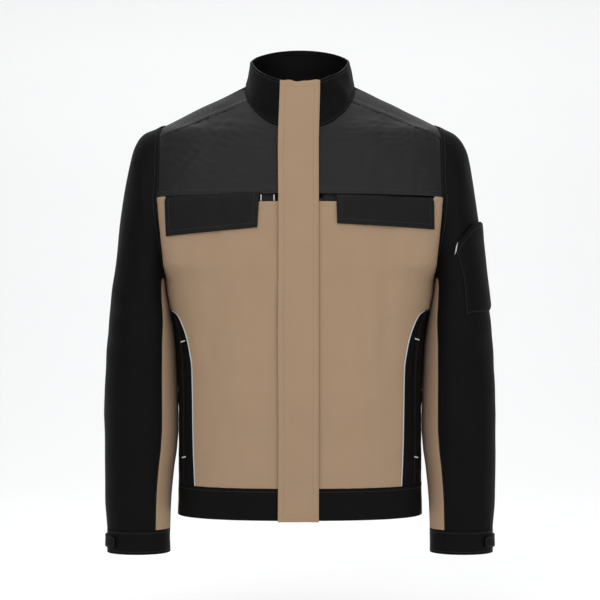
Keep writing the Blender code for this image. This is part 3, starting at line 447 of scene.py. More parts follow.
def reach(points, axis):
    step = np.linalg.norm(np.diff(points, axis=axis), axis=2)
    total = np.cumsum(step, axis=axis)
    shape = list(step.shape)
    shape[axis] = 1
    return np.concatenate((np.zeros(shape), total), axis=axis)


def normals(points, closed=False):
    if closed:
        ring = np.concatenate((points[:, -2:-1], points, points[:, 1:2]), axis=1)
        du = ring[:, 2:] - ring[:, :-2]
    else:
        du = np.gradient(points, axis=1)
    dv = np.gradient(points, axis=0)
    n = np.cross(du, dv)
    size = np.linalg.norm(n, axis=2, keepdims=True)
    return n / np.maximum(size, 1e-12)


def place(made, look, bodyName, replaced=(), slot=None, blend=None):
    made.data.materials.append(look)
    if blend:
        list(blend)
        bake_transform(made)
    else:
        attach(made, bodyName)
    if replaced:
        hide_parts(*replaced)
    return made


def meshObject(name, points, faces, uvs=None, smoothShade=True):
    mesh = bpy.data.meshes.new(name)
    mesh.from_pydata(points, [], faces)
    if smoothShade:
        mesh.polygons.foreach_set("use_smooth", [True] * len(mesh.polygons))
    if uvs is not None:
        layer = mesh.uv_layers.new(name="cloth")
        corners = np.zeros(len(mesh.loops), int)
        mesh.loops.foreach_get("vertex_index", corners)
        layer.data.foreach_set("uv", np.asarray(uvs, np.float32)[corners].reshape(-1))
    mesh.update()
    made = bpy.data.objects.new(name, mesh)
    bpy.context.scene.collection.objects.link(made)
    return made


def gridFaces(rows, cols, start=0, flip=False):
    i = np.arange(rows - 1)[:, None] * cols + np.arange(cols - 1)[None, :] + start
    quads = np.stack((i, i + 1, i + cols + 1, i + cols), axis=-1).reshape(-1, 4)
    return quads[:, ::-1] if flip else quads


def rim(rows, cols):
    # the edge of a grid, walked once round
    low = list(range(cols))
    right = [r * cols + cols - 1 for r in range(1, rows)]
    top = [(rows - 1) * cols + k for k in range(cols - 2, -1, -1)]
    left = [r * cols for r in range(rows - 2, 0, -1)]
    return low + right + top + left


def sewPanel(name, skin, size, look, bodyName="torso", out=0.0, thick=None, relief=None, replaced=(),
             slot=None, blend=None, core=None, closed=False, roll=None, edges=(None, None)):
    # skin(u, v) is the panel's face; relief gives its height from the distances to its four edges
    thick = thick or cloth["thick"]
    roll = roll or cloth["roll"]
    us = edges[0] if edges[0] is not None else cutRows(size[0])
    vs = edges[1] if edges[1] is not None else cutRows(size[1])
    u, v = np.meshgrid(us, vs)
    points = skin(u, v)
    n = normals(points, closed)
    middle = points.shape[0] // 2, points.shape[1] // 2
    heart = np.array(core if core is not None else (0.0, 0.0, points[middle][2]))
    sign = 1.0 if np.dot(n[middle], points[middle] - heart) > 0 else -1.0
    n = n * sign
    across = reach(points, 1)
    along = reach(points, 0)
    a = across
    b = across[:, -1:] - across
    c = along
    d = along[-1:] - along
    height = np.zeros(a.shape) + out
    if relief:
        height = height + relief(a, b, c, d, points)
    near = np.minimum(c, d) if closed else np.minimum(np.minimum(a, b), np.minimum(c, d))
    bend = np.clip(1 - near / roll, 0, 1)
    turned = roll * (1 - np.sqrt(np.clip(1 - bend**2, 0, 1)))
    height = height - turned
    top = points + n * height[..., None]
    low = points + n * (height - thick + turned * 1.4)[..., None]
    rows, cols = a.shape
    if closed:
        top = top[:, :-1]
        low = low[:, :-1]
        cols = cols - 1
    count = rows * cols
    faces = gridFaces(rows, cols, 0, sign < 0)
    faces = np.concatenate((faces, gridFaces(rows, cols, count, sign > 0)))
    if closed:
        r = np.arange(rows - 1) * cols
        seam = np.stack((r + cols - 1, r, r + cols, r + 2 * cols - 1), axis=-1)
        faces = np.concatenate((faces, seam[:, ::-1] if sign < 0 else seam,
                                (seam if sign < 0 else seam[:, ::-1]) + count))
        k = np.arange(cols)
        n2 = (k + 1) % cols
        foot = np.stack((n2, k, k + count, n2 + count), axis=-1)
        last = (rows - 1) * cols
        head = np.stack((k + last, n2 + last, n2 + last + count, k + last + count), axis=-1)
        faces = np.concatenate((faces, foot if sign > 0 else foot[:, ::-1],
                                head if sign > 0 else head[:, ::-1]))
    else:
        ring = np.array(rim(rows, cols))
        after = np.roll(ring, -1)
        wall = np.stack((after, ring, ring + count, after + count), axis=-1)
        faces = np.concatenate((faces, wall if sign > 0 else wall[:, ::-1]))
    uvs = np.stack((across[:, :cols] - across[:, cols // 2:cols // 2 + 1], points[:, :cols, 2]), axis=-1)
    uvs = np.concatenate((uvs.reshape(-1, 2), uvs.reshape(-1, 2)))
    every = np.concatenate((top.reshape(-1, 3), low.reshape(-1, 3)))
    made = meshObject(name, every.tolist(), faces.tolist(), uvs)
    place(made, look, bodyName, replaced, slot, blend)
    panel = dict(object=made, top=top if not closed else np.concatenate((top, top[:, :1]), axis=1),
                 n=n, a=a, b=b, c=c, d=d, blend=blend, body=bodyName)
    return panel


def seamLine(panel, edge, inset, trim=(0.0, 0.0)):
    # points and normals of a line a set distance inside one edge of a panel
    grid = {"left": panel["a"], "right": panel["b"], "foot": panel["c"], "head": panel["d"]}[edge]
    top = panel["top"]
    n = panel["n"]
    along = edge in ("foot", "head")
    lanes = grid.shape[1] if along else grid.shape[0]
    line = []
    facing = []
    for k in range(lanes):
        run = grid[:, k] if along else grid[k]
        spots = top[:, k] if along else top[k]
        ways = n[:, k] if along else n[k]
        if run[0] > run[-1]:
            run = run[::-1]
            spots = spots[::-1]
            ways = ways[::-1]
        if inset > run[-1]:
            continue
        line.append([np.interp(inset, run, spots[:, i]) for i in range(3)])
        facing.append([np.interp(inset, run, ways[:, i]) for i in range(3)])
    line = np.array(line)
    facing = unit(np.array(facing))
    far = np.concatenate(([0], np.cumsum(np.linalg.norm(np.diff(line, axis=0), axis=1))))
    keep = (far >= trim[0] - 1e-9) & (far <= far[-1] - trim[1] + 1e-9)
    return line[keep], facing[keep]


stitch = dict(pitch=0.0034, length=0.0027, wide=0.00062, high=0.00050, sunk=0.00005)
sewnRows = {}


def sewRow(line, facing, thread="black", bodyName="torso", blend=None, pitch=None, size=1.0):
    # collects stitches; they are made into one piece for each thread and body at the end
    far = np.concatenate(([0], np.cumsum(np.linalg.norm(np.diff(line, axis=0), axis=1))))
    pitch = pitch or stitch["pitch"]
    spots = np.arange(pitch / 2, far[-1], pitch)
    if not len(spots):
        return
    at = np.stack([np.interp(spots, far, line[:, i]) for i in range(3)], axis=1)
    up = unit(np.stack([np.interp(spots, far, facing[:, i]) for i in range(3)], axis=1))
    ahead = np.stack([np.interp(spots + 0.001, far, line[:, i]) for i in range(3)], axis=1)
    back = np.stack([np.interp(spots - 0.001, far, line[:, i]) for i in range(3)], axis=1)
    way = unit(ahead - back)
    across = unit(np.cross(up, way))
    turn = dice.normal(0, 0.05, len(spots))[:, None]
    way = unit(way + across * turn)
    at = at + up * (stitch["sunk"] + stitch["high"] * 0.15)
    key = (thread, bodyName, blend)
    sewnRows.setdefault(key, []).append((at, way, across, up, size))


def makeStitches():
    sides = 5
    around = [2 * math.pi * k / sides for k in range(sides)]
    after = [(k + 1) % sides for k in range(sides)]
    shell = [(0, 1 + n, 1 + k) for k, n in enumerate(after)]
    shell += [(1 + k, 1 + n, 1 + sides + n, 1 + sides + k) for k, n in enumerate(after)]
    shell += [(1 + 2 * sides, 1 + sides + k, 1 + sides + n) for k, n in enumerate(after)]
    for number, ((thread, bodyName, blend), rows) in enumerate(sorted(sewnRows.items(), key=str)):
        points = []
        faces = []
        base = 0
        for at, way, across, up, size in rows:
            half = stitch["length"] / 2 * size
            shape = [(-half, 0, 0)]
            for along in (-0.55, 0.55):
                for t in around:
                    shape.append((half * along, math.cos(t) * stitch["wide"] / 2,
                                  math.sin(t) * stitch["high"] / 2))
            shape.append((half, 0, 0))
            shape = np.array(shape)
            spots = (at[:, None] + way[:, None] * shape[None, :, 0:1]
                     + across[:, None] * shape[None, :, 1:2] + up[:, None] * shape[None, :, 2:3])
            points.append(spots.reshape(-1, 3))
            for k in range(len(at)):
                start = base + k * len(shape)
                faces += [tuple(i + start for i in face) for face in shell]
            base += len(at) * len(shape)
        look = {"tan": tanThread, "black": blackThread, "white": whiteThread}[thread]
        made = meshObject("stitches_%s_%s_%d" % (thread, bodyName, number),
                          np.concatenate(points).tolist(), faces)
        bars = tuple("%s_bartack_%s" % (side, end) for side in ("left", "right") for end in ("top", "foot"))
        place(made, look, bodyName, bars if thread == "white" else (), "thread", blend)
    print("stitches sewn", sum(len(r[0]) for rows in sewnRows.values() for r in rows))


def doubleRow(panel, edge, thread="black", insets=(0.0016, 0.0080), trim=(0.002, 0.002)):
    for inset in insets:
        line, facing = seamLine(panel, edge, inset, trim)
        sewRow(line, facing, thread, panel["body"], panel["blend"])


def seamBand(d, wide=0.0095, high=0.0005, dips=(0.0016, 0.0080)):
    # cloth raised over a folded seam allowance, pulled down along each stitched row
    rise = high * (1 - smooth(wide - 0.0015, wide + 0.001, d))
    for dip in dips:
        rise = rise - 0.00022 * hill(dip, 0.0008, d)
    return rise


def puckers(d, t, seed, high=0.00028, size=0.011, deep=0.010):
    # small ripples that run out from a stitched row
    way = noise(seed, size, t, 0 * t + seed, 5)
    return high * way * np.exp(-np.maximum(d, 0) / deep)


def makeCord(name, path, wide, look, node, slot):
    # a round cord along a row of points
    line = bpy.data.curves.new(name, "CURVE")
    line.dimensions = "3D"
    line.bevel_depth = wide / 2
    line.bevel_resolution = 3
    line.use_fill_caps = True
    spline = line.splines.new("POLY")
    spline.points.add(len(path) - 1)
    for point, at in zip(spline.points, path):
        point.co = (*at, 1)
    made = bpy.data.objects.new(name, line)
    bpy.context.scene.collection.objects.link(made)
    place(made, look, "torso", (node,), slot)


# front panels, yokes and hips
frontCut = dict(foldHigh=0.0011, foldWide=0.085, top=0.70)


def frontSkin(side):
    def skin(u, v):
        x = lerp(body["opening"], halfWidth(body["yokeZ"]), u)
        drop = body["pocketMouth"] * (1 - smooth(frontCut["top"], frontCut["top"] + 0.07, u))
        z = lerp(body["waistZ"], yokeEdge(x) - drop, v)
        inner = phiAt(body["opening"], z)
        tip = phiAt(pipingEdge(np.asarray(pipingTop), side), np.asarray(pipingTop))
        above = lerp(tip, math.pi / 2, smooth(pipingTop, pipingTop + 0.10, z))   # columns spread slowly
        outer = np.where(z < pipingTop, phiAt(pipingEdge(z, side), z), above)
        last = np.where(z < pipingTop, 0.0, math.pi / 2 - above) * smooth(0.86, 1.0, u)
        return torso(np.minimum(lerp(inner, outer, u) + last, math.pi / 2), z, side)
    return skin


def frontRelief(side):
    def relief(a, b, c, d, points):
        x = points[..., 0]
        z = points[..., 2]
        tip = pipingEdge(np.asarray(pipingTop), side)
        edge = lerp(tip, halfWidth(z), smooth(pipingTop, pipingTop + 0.10, z))
        edge = np.where(z < pipingTop, pipingEdge(z, side), edge)
        rim = np.maximum(edge - np.abs(x), 0)
        calm = smooth(0.0, 0.05, np.minimum(np.minimum(a, rim), np.minimum(c, d)))
        fold = noise(21 + side, frontCut["foldWide"], x + 0.04 * z, z * 0.16)
        high = frontCut["foldHigh"] * fold * calm
        deep, wide = (0.0030, 0.017) if side > 0 else (0.0012, 0.014)
        crease = hill(0.140, wide, np.abs(x) + 0.03 * (z + 0.4))   # one long fold down each front
        high = high - deep * crease * smooth(-0.66, -0.50, z) * calm
        high = high + 0.0005 * noise(31 + side, 0.030, x, z * 0.4) * calm
        high = high + seamBand(d, 0.0085, 0.0006, (0.0062,)) + seamBand(c, 0.0, 0.0, (0.0018,))
        high = high + puckers(d, x, 41 + side) + puckers(c, x, 43 + side, 0.0003)
        return high + seamBand(b, 0.0, 0.0, (0.0018,))
    return relief


def coons(left, right, low, high, u, v):
    # a patch between four seam lines, in (angle, height)
    made = []
    for i in range(2):
        a = left(v)[i] * (1 - u) + right(v)[i] * u
        b = low(u)[i] * (1 - v) + high(u)[i] * v
        zero = 0 * u
        c = (left(zero)[i] * (1 - u) + right(zero)[i] * u) * (1 - v)
        c = c + (left(zero + 1)[i] * (1 - u) + right(zero + 1)[i] * u) * v
        made.append(a + b - c)
    return made


def soften(skin, reachU=0.0, reachV=0.16):
    # rounds a crease inside a panel; its edges stay where they are
    def made(u, v):
        roomU = np.minimum(np.minimum(u, 1 - u), reachU)
        roomV = np.minimum(np.minimum(v, 1 - v), reachV)
        total = 0.0
        weight = 0.0
        for i in ((0,) if not reachU else (-2, -1, 0, 1, 2)):
            for j in (-3, -2, -1, 0, 1, 2, 3):
                w = math.exp(-(i / 1.6) ** 2 - (j / 2.0) ** 2)
                total = total + w * skin(u + roomU * i / 2, v + roomV * j / 3)
                weight += w
        return total / weight
    return made


yokeCorner = 0.45


def yokeSkin(side):
    thetaLow = math.asin(body["opening"] / body["neckHalf"])

    def low(t):
        x = lerp(body["opening"], halfWidth(body["yokeZ"]), t)
        z = yokeEdge(x)
        return lerp(phiAt(body["opening"], z), math.pi / 2, t), z

    def left(t):
        zip0 = low(0 * t)[1]
        neckZ = neckSeam(np.asarray(thetaLow))[1]
        zA = lerp(zip0, neckZ, np.clip(t / yokeCorner, 0, 1))
        phiA = phiAt(body["opening"], zA)
        theta = lerp(thetaLow, seamNeckAngle, np.clip((t - yokeCorner) / (1 - yokeCorner), 0, 1))
        x, z = neckSeam(theta)
        return np.where(t <= yokeCorner, phiA, phiAt(x, z)), np.where(t <= yokeCorner, zA, z)

    def right(t):
        return 0 * t + math.pi / 2, lerp(low(0 * t + 1)[1], body["tipZ"] - body["shoulderFall"], t)

    def skin(u, v):
        phi, z = coons(left, right, low, shoulderLine, u, v)
        return torso(np.clip(phi, 0, math.pi / 2), z, side)
    return skin


def yokeRelief(side):
    def relief(a, b, c, d, points):
        x = points[..., 0]
        z = points[..., 2]
        calm = smooth(0.0, 0.04, np.minimum(np.minimum(a, b), np.minimum(c, d)))
        high = 0.0008 * noise(51 + side, 0.07, x, z) * calm
        high = high + 0.0005 * noise(55 + side, 0.022, x, z * 1.6) * calm
        high = high + 0.00035 * noise(59 + side, 0.011, x * 0.6, z * 1.5) * calm
        high = high + seamBand(c, 0.0095, 0.0007, (0.0016, 0.0078))
        high = high + puckers(c, x, 61 + side, 0.0006, 0.008)
        high = high + puckers(d, x, 63 + side, 0.0008, 0.009, 0.014)
        return high + puckers(b, z, 65, 0.0003) + seamBand(b, 0.0, 0.0, (0.0018,))
    return relief


for side, name in halves:
    tan = sewPanel(name + "_front_cloth", frontSkin(side), (0.185, 0.438), tanTwill,
                   relief=frontRelief(side), replaced=(name + "_front_panel",), slot="tan_cloth")
    sewRow(*seamLine(tan, "head", 0.0062, (0.001, 0.002)), "tan")
    sewRow(*seamLine(tan, "right", 0.0018, (0.002, 0.002)), "tan")
    vs = np.unique(np.concatenate((cutRows(0.20), [yokeCorner])))
    yoke = sewPanel(name + "_yoke_cloth", soften(yokeSkin(side), 0.10), (0.205, 0.20), yokeTwillPaintedTopLight,
                    edges=(None, vs), relief=yokeRelief(side), replaced=(name + "_chest_yoke",),
                    slot="black_cloth")
    doubleRow(yoke, "foot", insets=(0.0016, 0.0078))
print("fronts and chest yokes sewn")

hips = dict(rise=0.0009, top=pipingTop - 0.0020)


def facingSkin(side):
    def skin(u, v):
        z = lerp(body["waistZ"], hips["top"], v)
        low = phiAt(pipingEdge(z, side), z)
        high = np.maximum(phiAt(slitEdge(z, side), z), low + 0.004)
        return torso(lerp(low, high, u), z, side)
    return skin


def hipSkin(side):
    def skin(u, v):
        z = lerp(body["waistZ"], hips["top"], v)
        low = np.maximum(phiAt(slitEdge(z, side) - 0.0012, z), phiAt(pipingEdge(z, side), z) + 0.003)
        return torso(lerp(low, math.pi / 2, u), z, side)
    return skin


slitTop = highOf("left_bartack_top").z - 0.001
slitFoot = lowOf("left_bartack_foot").z + 0.001


def hipRelief(a, b, c, d, points):
    z = points[..., 2]
    mouth = smooth(slitFoot - 0.006, slitFoot + 0.006, z)
    mouth = mouth * (1 - smooth(slitTop - 0.006, slitTop + 0.006, z))
    lift = hips["rise"] * (0.35 + 0.65 * mouth) * (1 - smooth(0.003, 0.014, a))
    ripple = 0.0003 * noise(71, 0.035, points[..., 1], z) * smooth(0, 0.01, np.minimum(a, b))
    return lift + ripple - 0.00022 * hill(0.0050, 0.0008, a)


def facingRelief(a, b, c, d, points):
    return -0.0006 * (1 - smooth(0.0, 0.006, b)) + puckers(a, points[..., 2], 73, 0.0002)


for side, name in halves:
    sewPanel(name + "_pocket_facing_cloth", facingSkin(side), (0.018, 0.26), blackTwill,
             relief=facingRelief, replaced=(name + "_pocket_facing",), slot="black_cloth",
             edges=(np.linspace(0, 1, 15), None))
    hip = sewPanel(name + "_hip_cloth", hipSkin(side), (0.040, 0.26), blackTwill, relief=hipRelief,
                   replaced=(name + "_hip_panel",), slot="black_cloth")
    sewRow(*seamLine(hip, "left", 0.0050, (0.002, 0.004)), "black")
    zs = lerp(body["waistZ"] + 0.0005, pipingTop - 0.001, 1 - (1 - np.linspace(0, 1, 160)) ** 1.5)
    path = front(pipingEdge(zs, side), zs, side)
    out = unit(path * (1, 1, 0))
    path = path + out * 0.0003
    makeCord(name + "_piping_cord", path, 0.0021, reflectiveTape, name + "_piping", "reflective")
print("hips and piping sewn")


# welded patches, for the back yoke that runs over both shoulders
def aroundBack(u, z):
    # the back between its side seams, u from -1 to 1
    points = torso(math.pi / 2 * np.abs(u), z, 1, True)
    points[..., 0] = points[..., 0] * np.sign(u)
    return points


def sewPatches(name, grids, look, replaced, thick, slot):
    points = []
    faces = []
    heights = []
    start = 0
    for spots, height in grids:
        rows, cols = height.shape
        points.append(spots.reshape(-1, 3))
        heights.append(height.reshape(-1))
        faces.append(gridFaces(rows, cols, start))
        start += rows * cols
    points = np.concatenate(points)
    heights = np.concatenate(heights)
    faces = np.concatenate(faces)
    key, first, where = np.unique(np.round(points / 4e-5).astype(np.int64), axis=0, return_index=True,
                                  return_inverse=True)
    where = where.reshape(-1)
    points = points[first]
    heights = np.bincount(where, heights) / np.bincount(where)
    corners = [list(dict.fromkeys(where[face])) for face in faces]
    mesh = bpy.data.meshes.new(name + "_draft")
    mesh.from_pydata(points.tolist(), [], [face for face in corners if len(face) > 2])
    bm = bmesh.new()
    bm.from_mesh(mesh)
    bmesh.ops.recalc_face_normals(bm, faces=bm.faces)
    bm.normal_update()
    bm.verts.ensure_lookup_table()
    bm.faces.ensure_lookup_table()
    probe = max(bm.faces, key=lambda f: f.calc_center_median().y)
    sign = 1.0 if probe.normal.y > 0 else -1.0
    shell = bmesh.new()
    uvs = shell.loops.layers.uv.new("cloth")
    tops = []
    lows = []
    for vert in bm.verts:
        at = heights[vert.index]
        tops.append(shell.verts.new(vert.co + vert.normal * sign * at))
        lows.append(shell.verts.new(vert.co + vert.normal * sign * (at - thick)))
    for face in bm.faces:
        ring = [v.index for v in face.verts]
        if sign < 0:
            ring = ring[::-1]
        shell.faces.new([tops[k] for k in ring]).smooth = True
        shell.faces.new([lows[k] for k in reversed(ring)]).smooth = True
    for edge in bm.edges:
        if len(edge.link_faces) == 1:
            a, b = (v.index for v in edge.verts)
            shell.faces.new((tops[a], tops[b], lows[b], lows[a])).smooth = True
    bmesh.ops.recalc_face_normals(shell, faces=shell.faces)
    for face in shell.faces:
        for loop in face.loops:
            loop[uvs].uv = (loop.vert.co.x, loop.vert.co.z - loop.vert.co.y * 0.6)
    bpy.data.meshes.remove(mesh)
    made = bpy.data.meshes.new(name)
    shell.to_mesh(made)
    shell.free()
    bm.free()
    held = bpy.data.objects.new(name, made)
    bpy.context.scene.collection.objects.link(held)
    place(held, look, "torso", replaced, slot)


backYoke = dict(low=body["backYokeZ"], middle=body["neckHalf"] * 1.1)


def yokeHeight(points, rimDistance):
    x = points[..., 0]
    z = points[..., 2]
    foot = z - backYoke["low"]
    high = seamBand(np.maximum(foot, 0), 0.0095, 0.0007, (0.0016, 0.0078)) * (points[..., 1] > 0.03)
    calm = smooth(0.0, 0.03, rimDistance)
    high = high + 0.0007 * noise(81, 0.07, x, z + points[..., 1]) * calm
    high = high + puckers(np.maximum(foot, 0), x, 83, 0.0004) * (points[..., 1] > 0.03)
    return high - 0.0006 * (1 - smooth(0.0, 0.0010, rimDistance))


def backYokeGrids():
    low = backYoke["low"]
    middle = backYoke["middle"]
    grids = []
    turn = np.sin(np.linspace(-math.pi / 2, math.pi / 2, 121))
    vs = cutRows(0.17)
    u, v = np.meshgrid(turn, vs)
    phi = lerp(phiAt(middle * np.abs(u), low), np.arcsin(np.clip(np.abs(u), 0, 1)), v)
    z = lerp(low, body["neckZ"], v)
    points = torso(phi, z, 1, True)
    points[..., 0] = points[..., 0] * np.sign(u)
    away = np.minimum(reach(points, 0), reach(points, 0)[-1:] - reach(points, 0))
    grids.append((points, yokeHeight(points, away)))
    us = cutRows(0.14)
    us = np.concatenate((np.linspace(0, us[len(us) // 2], 24), us[len(us) // 2 + 1:]))
    for side in (1, -1):
        u, v = np.meshgrid(us, vs)

        def ridge(s):
            return 0 * s + math.pi / 2, lerp(body["neckZ"], body["tipZ"], s)

        phi, z = coons(
            lambda t: (lerp(phiAt(middle, low), math.pi / 2, t), lerp(low, body["neckZ"], t)),
            lambda t: (0 * t + math.pi / 2, lerp(low, body["tipZ"], t)),
            lambda t: (lerp(phiAt(middle, low), math.pi / 2, t), 0 * t + low), ridge, u, v)
        points = torso(np.clip(phi, 0, math.pi / 2), z, side, True)
        foot = reach(points, 0)
        edge = reach(points, 1)
        away = np.minimum(foot, edge[:, -1:] - edge)
        grids.append((points, yokeHeight(points, away)))
        over = cutRows(0.045)
        u, v = np.meshgrid(us, over)

        def neck(t):
            x, z = neckSeam(lerp(math.pi / 2, seamNeckAngle, t))
            return phiAt(x, z), z

        def armEdge(t):
            return 0 * t + math.pi / 2, lerp(body["tipZ"], body["tipZ"] - body["shoulderFall"], t)

        def strap(u, v):
            phi, z = coons(neck, armEdge, ridge, shoulderLine, u, v)
            return torso(np.clip(phi, 0, math.pi / 2), z, side)

        points = soften(strap, 0.10, 0.35)(u, v)
        foot = reach(points, 0)
        edge = reach(points, 1)
        rest = foot[-1:] - foot
        away = np.minimum(np.minimum(rest, edge[:, -1:] - edge), 1.0)
        height = yokeHeight(points, away) + seamBand(rest, 0.0095, 0.0007, (0.0016, 0.0078))
        height = height + puckers(rest, points[..., 0], 87, 0.0005)
        grids.append((points, height))
        for inset in (0.0016, 0.0078):
            line = []
            for k in range(points.shape[1]):
                line.append([np.interp(-inset, -rest[:, k], points[:, k, i]) for i in range(3)])
            line = np.array(line)
            facing = unit(np.tile((side * 0.25, -0.45, 0.85), (len(line), 1)))
            sewRow(line[2:-2] + facing[2:-2] * 0.0003, facing[2:-2])
    return grids


sewPatches("back_yoke_cloth", backYokeGrids(), yokeTwillPaintedTopLight, ("back_yoke",), cloth["thick"], "black_cloth")
for inset in (0.0016, 0.0078):
    us = np.linspace(-0.985, 0.985, 240)
    z = backYoke["low"] + inset + 0 * us
    line = aroundBack(us, z)
    facing = unit(np.stack((line[:, 0] * 0.5, line[:, 1], 0 * us), axis=1))
    sewRow(line + facing * 0.0004, facing)


def backSkin(u, v):
    return aroundBack(u, lerp(body["waistZ"], body["backYokeZ"], v))


def backRelief(a, b, c, d, points):
    x = points[..., 0]
    z = points[..., 2]
    calm = smooth(0.0, 0.05, np.minimum(np.minimum(a, b), np.minimum(c, d)))
    high = 0.0016 * noise(91, 0.10, x, z * 0.2) * calm + 0.0005 * noise(93, 0.035, x, z * 0.45) * calm
    high = high + puckers(c, x, 95, 0.0004) + puckers(d, x, 97, 0.0003)
    return high + puckers(np.minimum(a, b), z, 99, 0.0003)


us = np.unique(np.round(np.concatenate((cutRows(0.56) * 2 - 1, [0.0])), 6))
sewPanel("back_cloth", backSkin, (0.56, 0.46), tanTwill, relief=backRelief, edges=(us, None),
         replaced=("back_panel",), slot="tan_cloth")
print("back sewn")

# waistband
band = dict(thick=0.0030, roll=0.0012, stitchIn=0.0052)


def bandRelief(seed):
    def relief(a, b, c, d, points):
        x = points[..., 0]
        z = points[..., 2]
        way = 0.0004 + puckers(d, x, seed, 0.00035) + 0.00025 * noise(seed + 1, 0.03, x, z)
        return way - 0.00025 * hill(band["stitchIn"], 0.0009, d) - 0.00022 * hill(0.0045, 0.0009, c)
    return relief


def bandSkin(side):
    def skin(u, v):
        z = lerp(body["hemZ"], body["waistZ"], v)
        return torso(lerp(phiAt(body["opening"], z), math.pi / 2, u), z, side)
    return skin


def bandBack(u, v):
    return aroundBack(u, lerp(body["hemZ"], body["waistZ"], v))


for side, name in halves:
    made = sewPanel(name + "_waistband_cloth", bandSkin(side), (0.22, 0.05), blackTwill,
                    thick=band["thick"], roll=band["roll"], relief=bandRelief(101 + side),
                    replaced=(name + "_waistband",), slot="black_cloth")
    sewRow(*seamLine(made, "head", band["stitchIn"], (0.002, 0.0)))
made = sewPanel("back_waistband_cloth", bandBack, (0.56, 0.05), blackTwill, thick=band["thick"],
                roll=band["roll"], relief=bandRelief(105), replaced=("back_waistband",), slot="black_cloth",
                edges=(us, None))
sewRow(*seamLine(made, "head", band["stitchIn"]))
print("waistband sewn")

# collar: outer and inner cloth sewn as one band
collar = dict(thick=0.0035, roll=0.0016, opening=0.0205, rimHalf=0.079, rimBack=0.070, side=0.0405,
              backRise=0.0265, frontFall=0.043, stitchIn=0.0055, frontBow=1.25, backBow=1.15)


def collarSkin(u, v):
    turn = lerp(-1.0, 1.0, u)
    side = np.where(turn > 0, -1.0, 1.0)
    start = math.asin(collar["opening"] / collar["rimHalf"])
    theta = lerp(math.pi, start, np.abs(turn))
    lean = np.cos(theta)
    fore = theta <= math.pi / 2
    fall = np.abs(lean)
    z = body["neckZ"] + collar["side"] - np.where(fore, collar["frontFall"] * fall**collar["frontBow"], 0.0)
    y = -np.where(fore, frontArc(z), collar["rimBack"]) * lean
    z = z + np.where(fore, 0.0, collar["backRise"] * fall**collar["backBow"])
    z = z + np.where(fore & (side > 0), 0.0022 * hill(0.62, 0.035, theta), 0.0)
    rimPoint = stack(collar["rimHalf"] * np.sin(theta), y, z)
    base = neckPoint(theta)
    point = base + (rimPoint - base) * v[..., None]
    point[..., 0] = point[..., 0] * side
    return point


def collarRelief(a, b, c, d, points):
    x = points[..., 0]
    z = points[..., 2]
    calm = smooth(0, 0.012, np.minimum(c, d))
    high = 0.0007 * noise(111, 0.05, x + points[..., 1], z) * calm
    high = high + puckers(c, a, 113, 0.0006) + puckers(d, a, 115, 0.0004)
    high = high + seamBand(c, 0.0085, 0.0006, (0.0030, 0.0078))
    return high - 0.00025 * hill(collar["stitchIn"], 0.0009, d)


collarPanel = sewPanel("collar_cloth", collarSkin, (0.46, 0.065), blackTwill, thick=collar["thick"],
                       roll=collar["roll"], relief=collarRelief, replaced=("collar_outer", "collar_inner"),
                       slot="black_cloth", core=(0, 0, 0), edges=(cutRows(0.46, step=0.0026), None))
sewRow(*seamLine(collarPanel, "head", collar["stitchIn"], (0.004, 0.004)))
sewRow(*seamLine(collarPanel, "foot", 0.0030, (0.003, 0.003)))
print("collar sewn")

# storm flap over the zip
storm = dict(left=highOf("storm_flap").x, right=lowOf("storm_flap").x, out=0.0026, thick=0.0024,
             foot=lowOf("storm_flap").z, top=highOf("storm_flap").z, stitchIn=0.0088,
             edge=0.0022, hem=0.0050, lean=0.0022)


def stormSkin(u, v):
    x = lerp(storm["left"], storm["right"], u)
    top = storm["top"] - 0.0028 - 0.0022 * hill(-0.004, 0.014, x) + 0.0006 * np.sin(x * 310 + 0.9)
    z = lerp(storm["foot"], top, v)
    x = x + storm["lean"] * smooth(-0.11, 0.0, z) + 0.0005 * np.sin(z * 21 + 0.5) * smooth(0.3, 1.0, u)
    return stack(x, -frontArc(z) - storm["out"] - storm["thick"], z)


def stormRelief(a, b, c, d, points):
    x = points[..., 0]
    z = points[..., 2]
    calm = smooth(0, 0.012, np.minimum(a, b))
    high = 0.0007 * noise(121, 0.055, x * 1.4, z * 0.5) * (0.35 + 0.65 * calm)
    high = high + 0.0006 * noise(123, 0.16, x * 0.3, z) * smooth(0, 0.03, a)
    high = high + puckers(b, z, 125, 0.00035) + puckers(a, z, 127, 0.0003) + puckers(d, x, 129, 0.0004)
    for edge in (a, b, d, c):
        high = high - 0.0003 * hill(storm["stitchIn"], 0.0009, edge)
    return high - 0.0003 * hill(storm["edge"], 0.0008, a)


stormBlend = ("torso", "storm_flap", (storm["left"], -0.1, -0.36), (storm["left"] - 0.009, -0.1, -0.36))
stormPanel = sewPanel("storm_flap_cloth", stormSkin, (0.0626, 0.715), tanTwill, bodyName="storm_flap",
                      thick=storm["thick"], roll=0.0011, relief=stormRelief, replaced=("storm_flap",),
                      slot="tan_cloth", blend=stormBlend, core=(0, 0, -0.34),
                      edges=(cutRows(0.0626, band=0.011), None))
for edge, inset, ends in (("right", storm["stitchIn"], (0.006, 0.0088)),
                          ("left", storm["stitchIn"], (0.006, 0.0088)),
                          ("left", storm["edge"], (0.004, 0.003)),
                          ("head", storm["stitchIn"], (0.0088, 0.0088)),
                          ("foot", storm["hem"], (0.0088, 0.0088))):
    sewRow(*seamLine(stormPanel, edge, inset, ends), "tan", "storm_flap", stormBlend)
print("storm flap sewn")

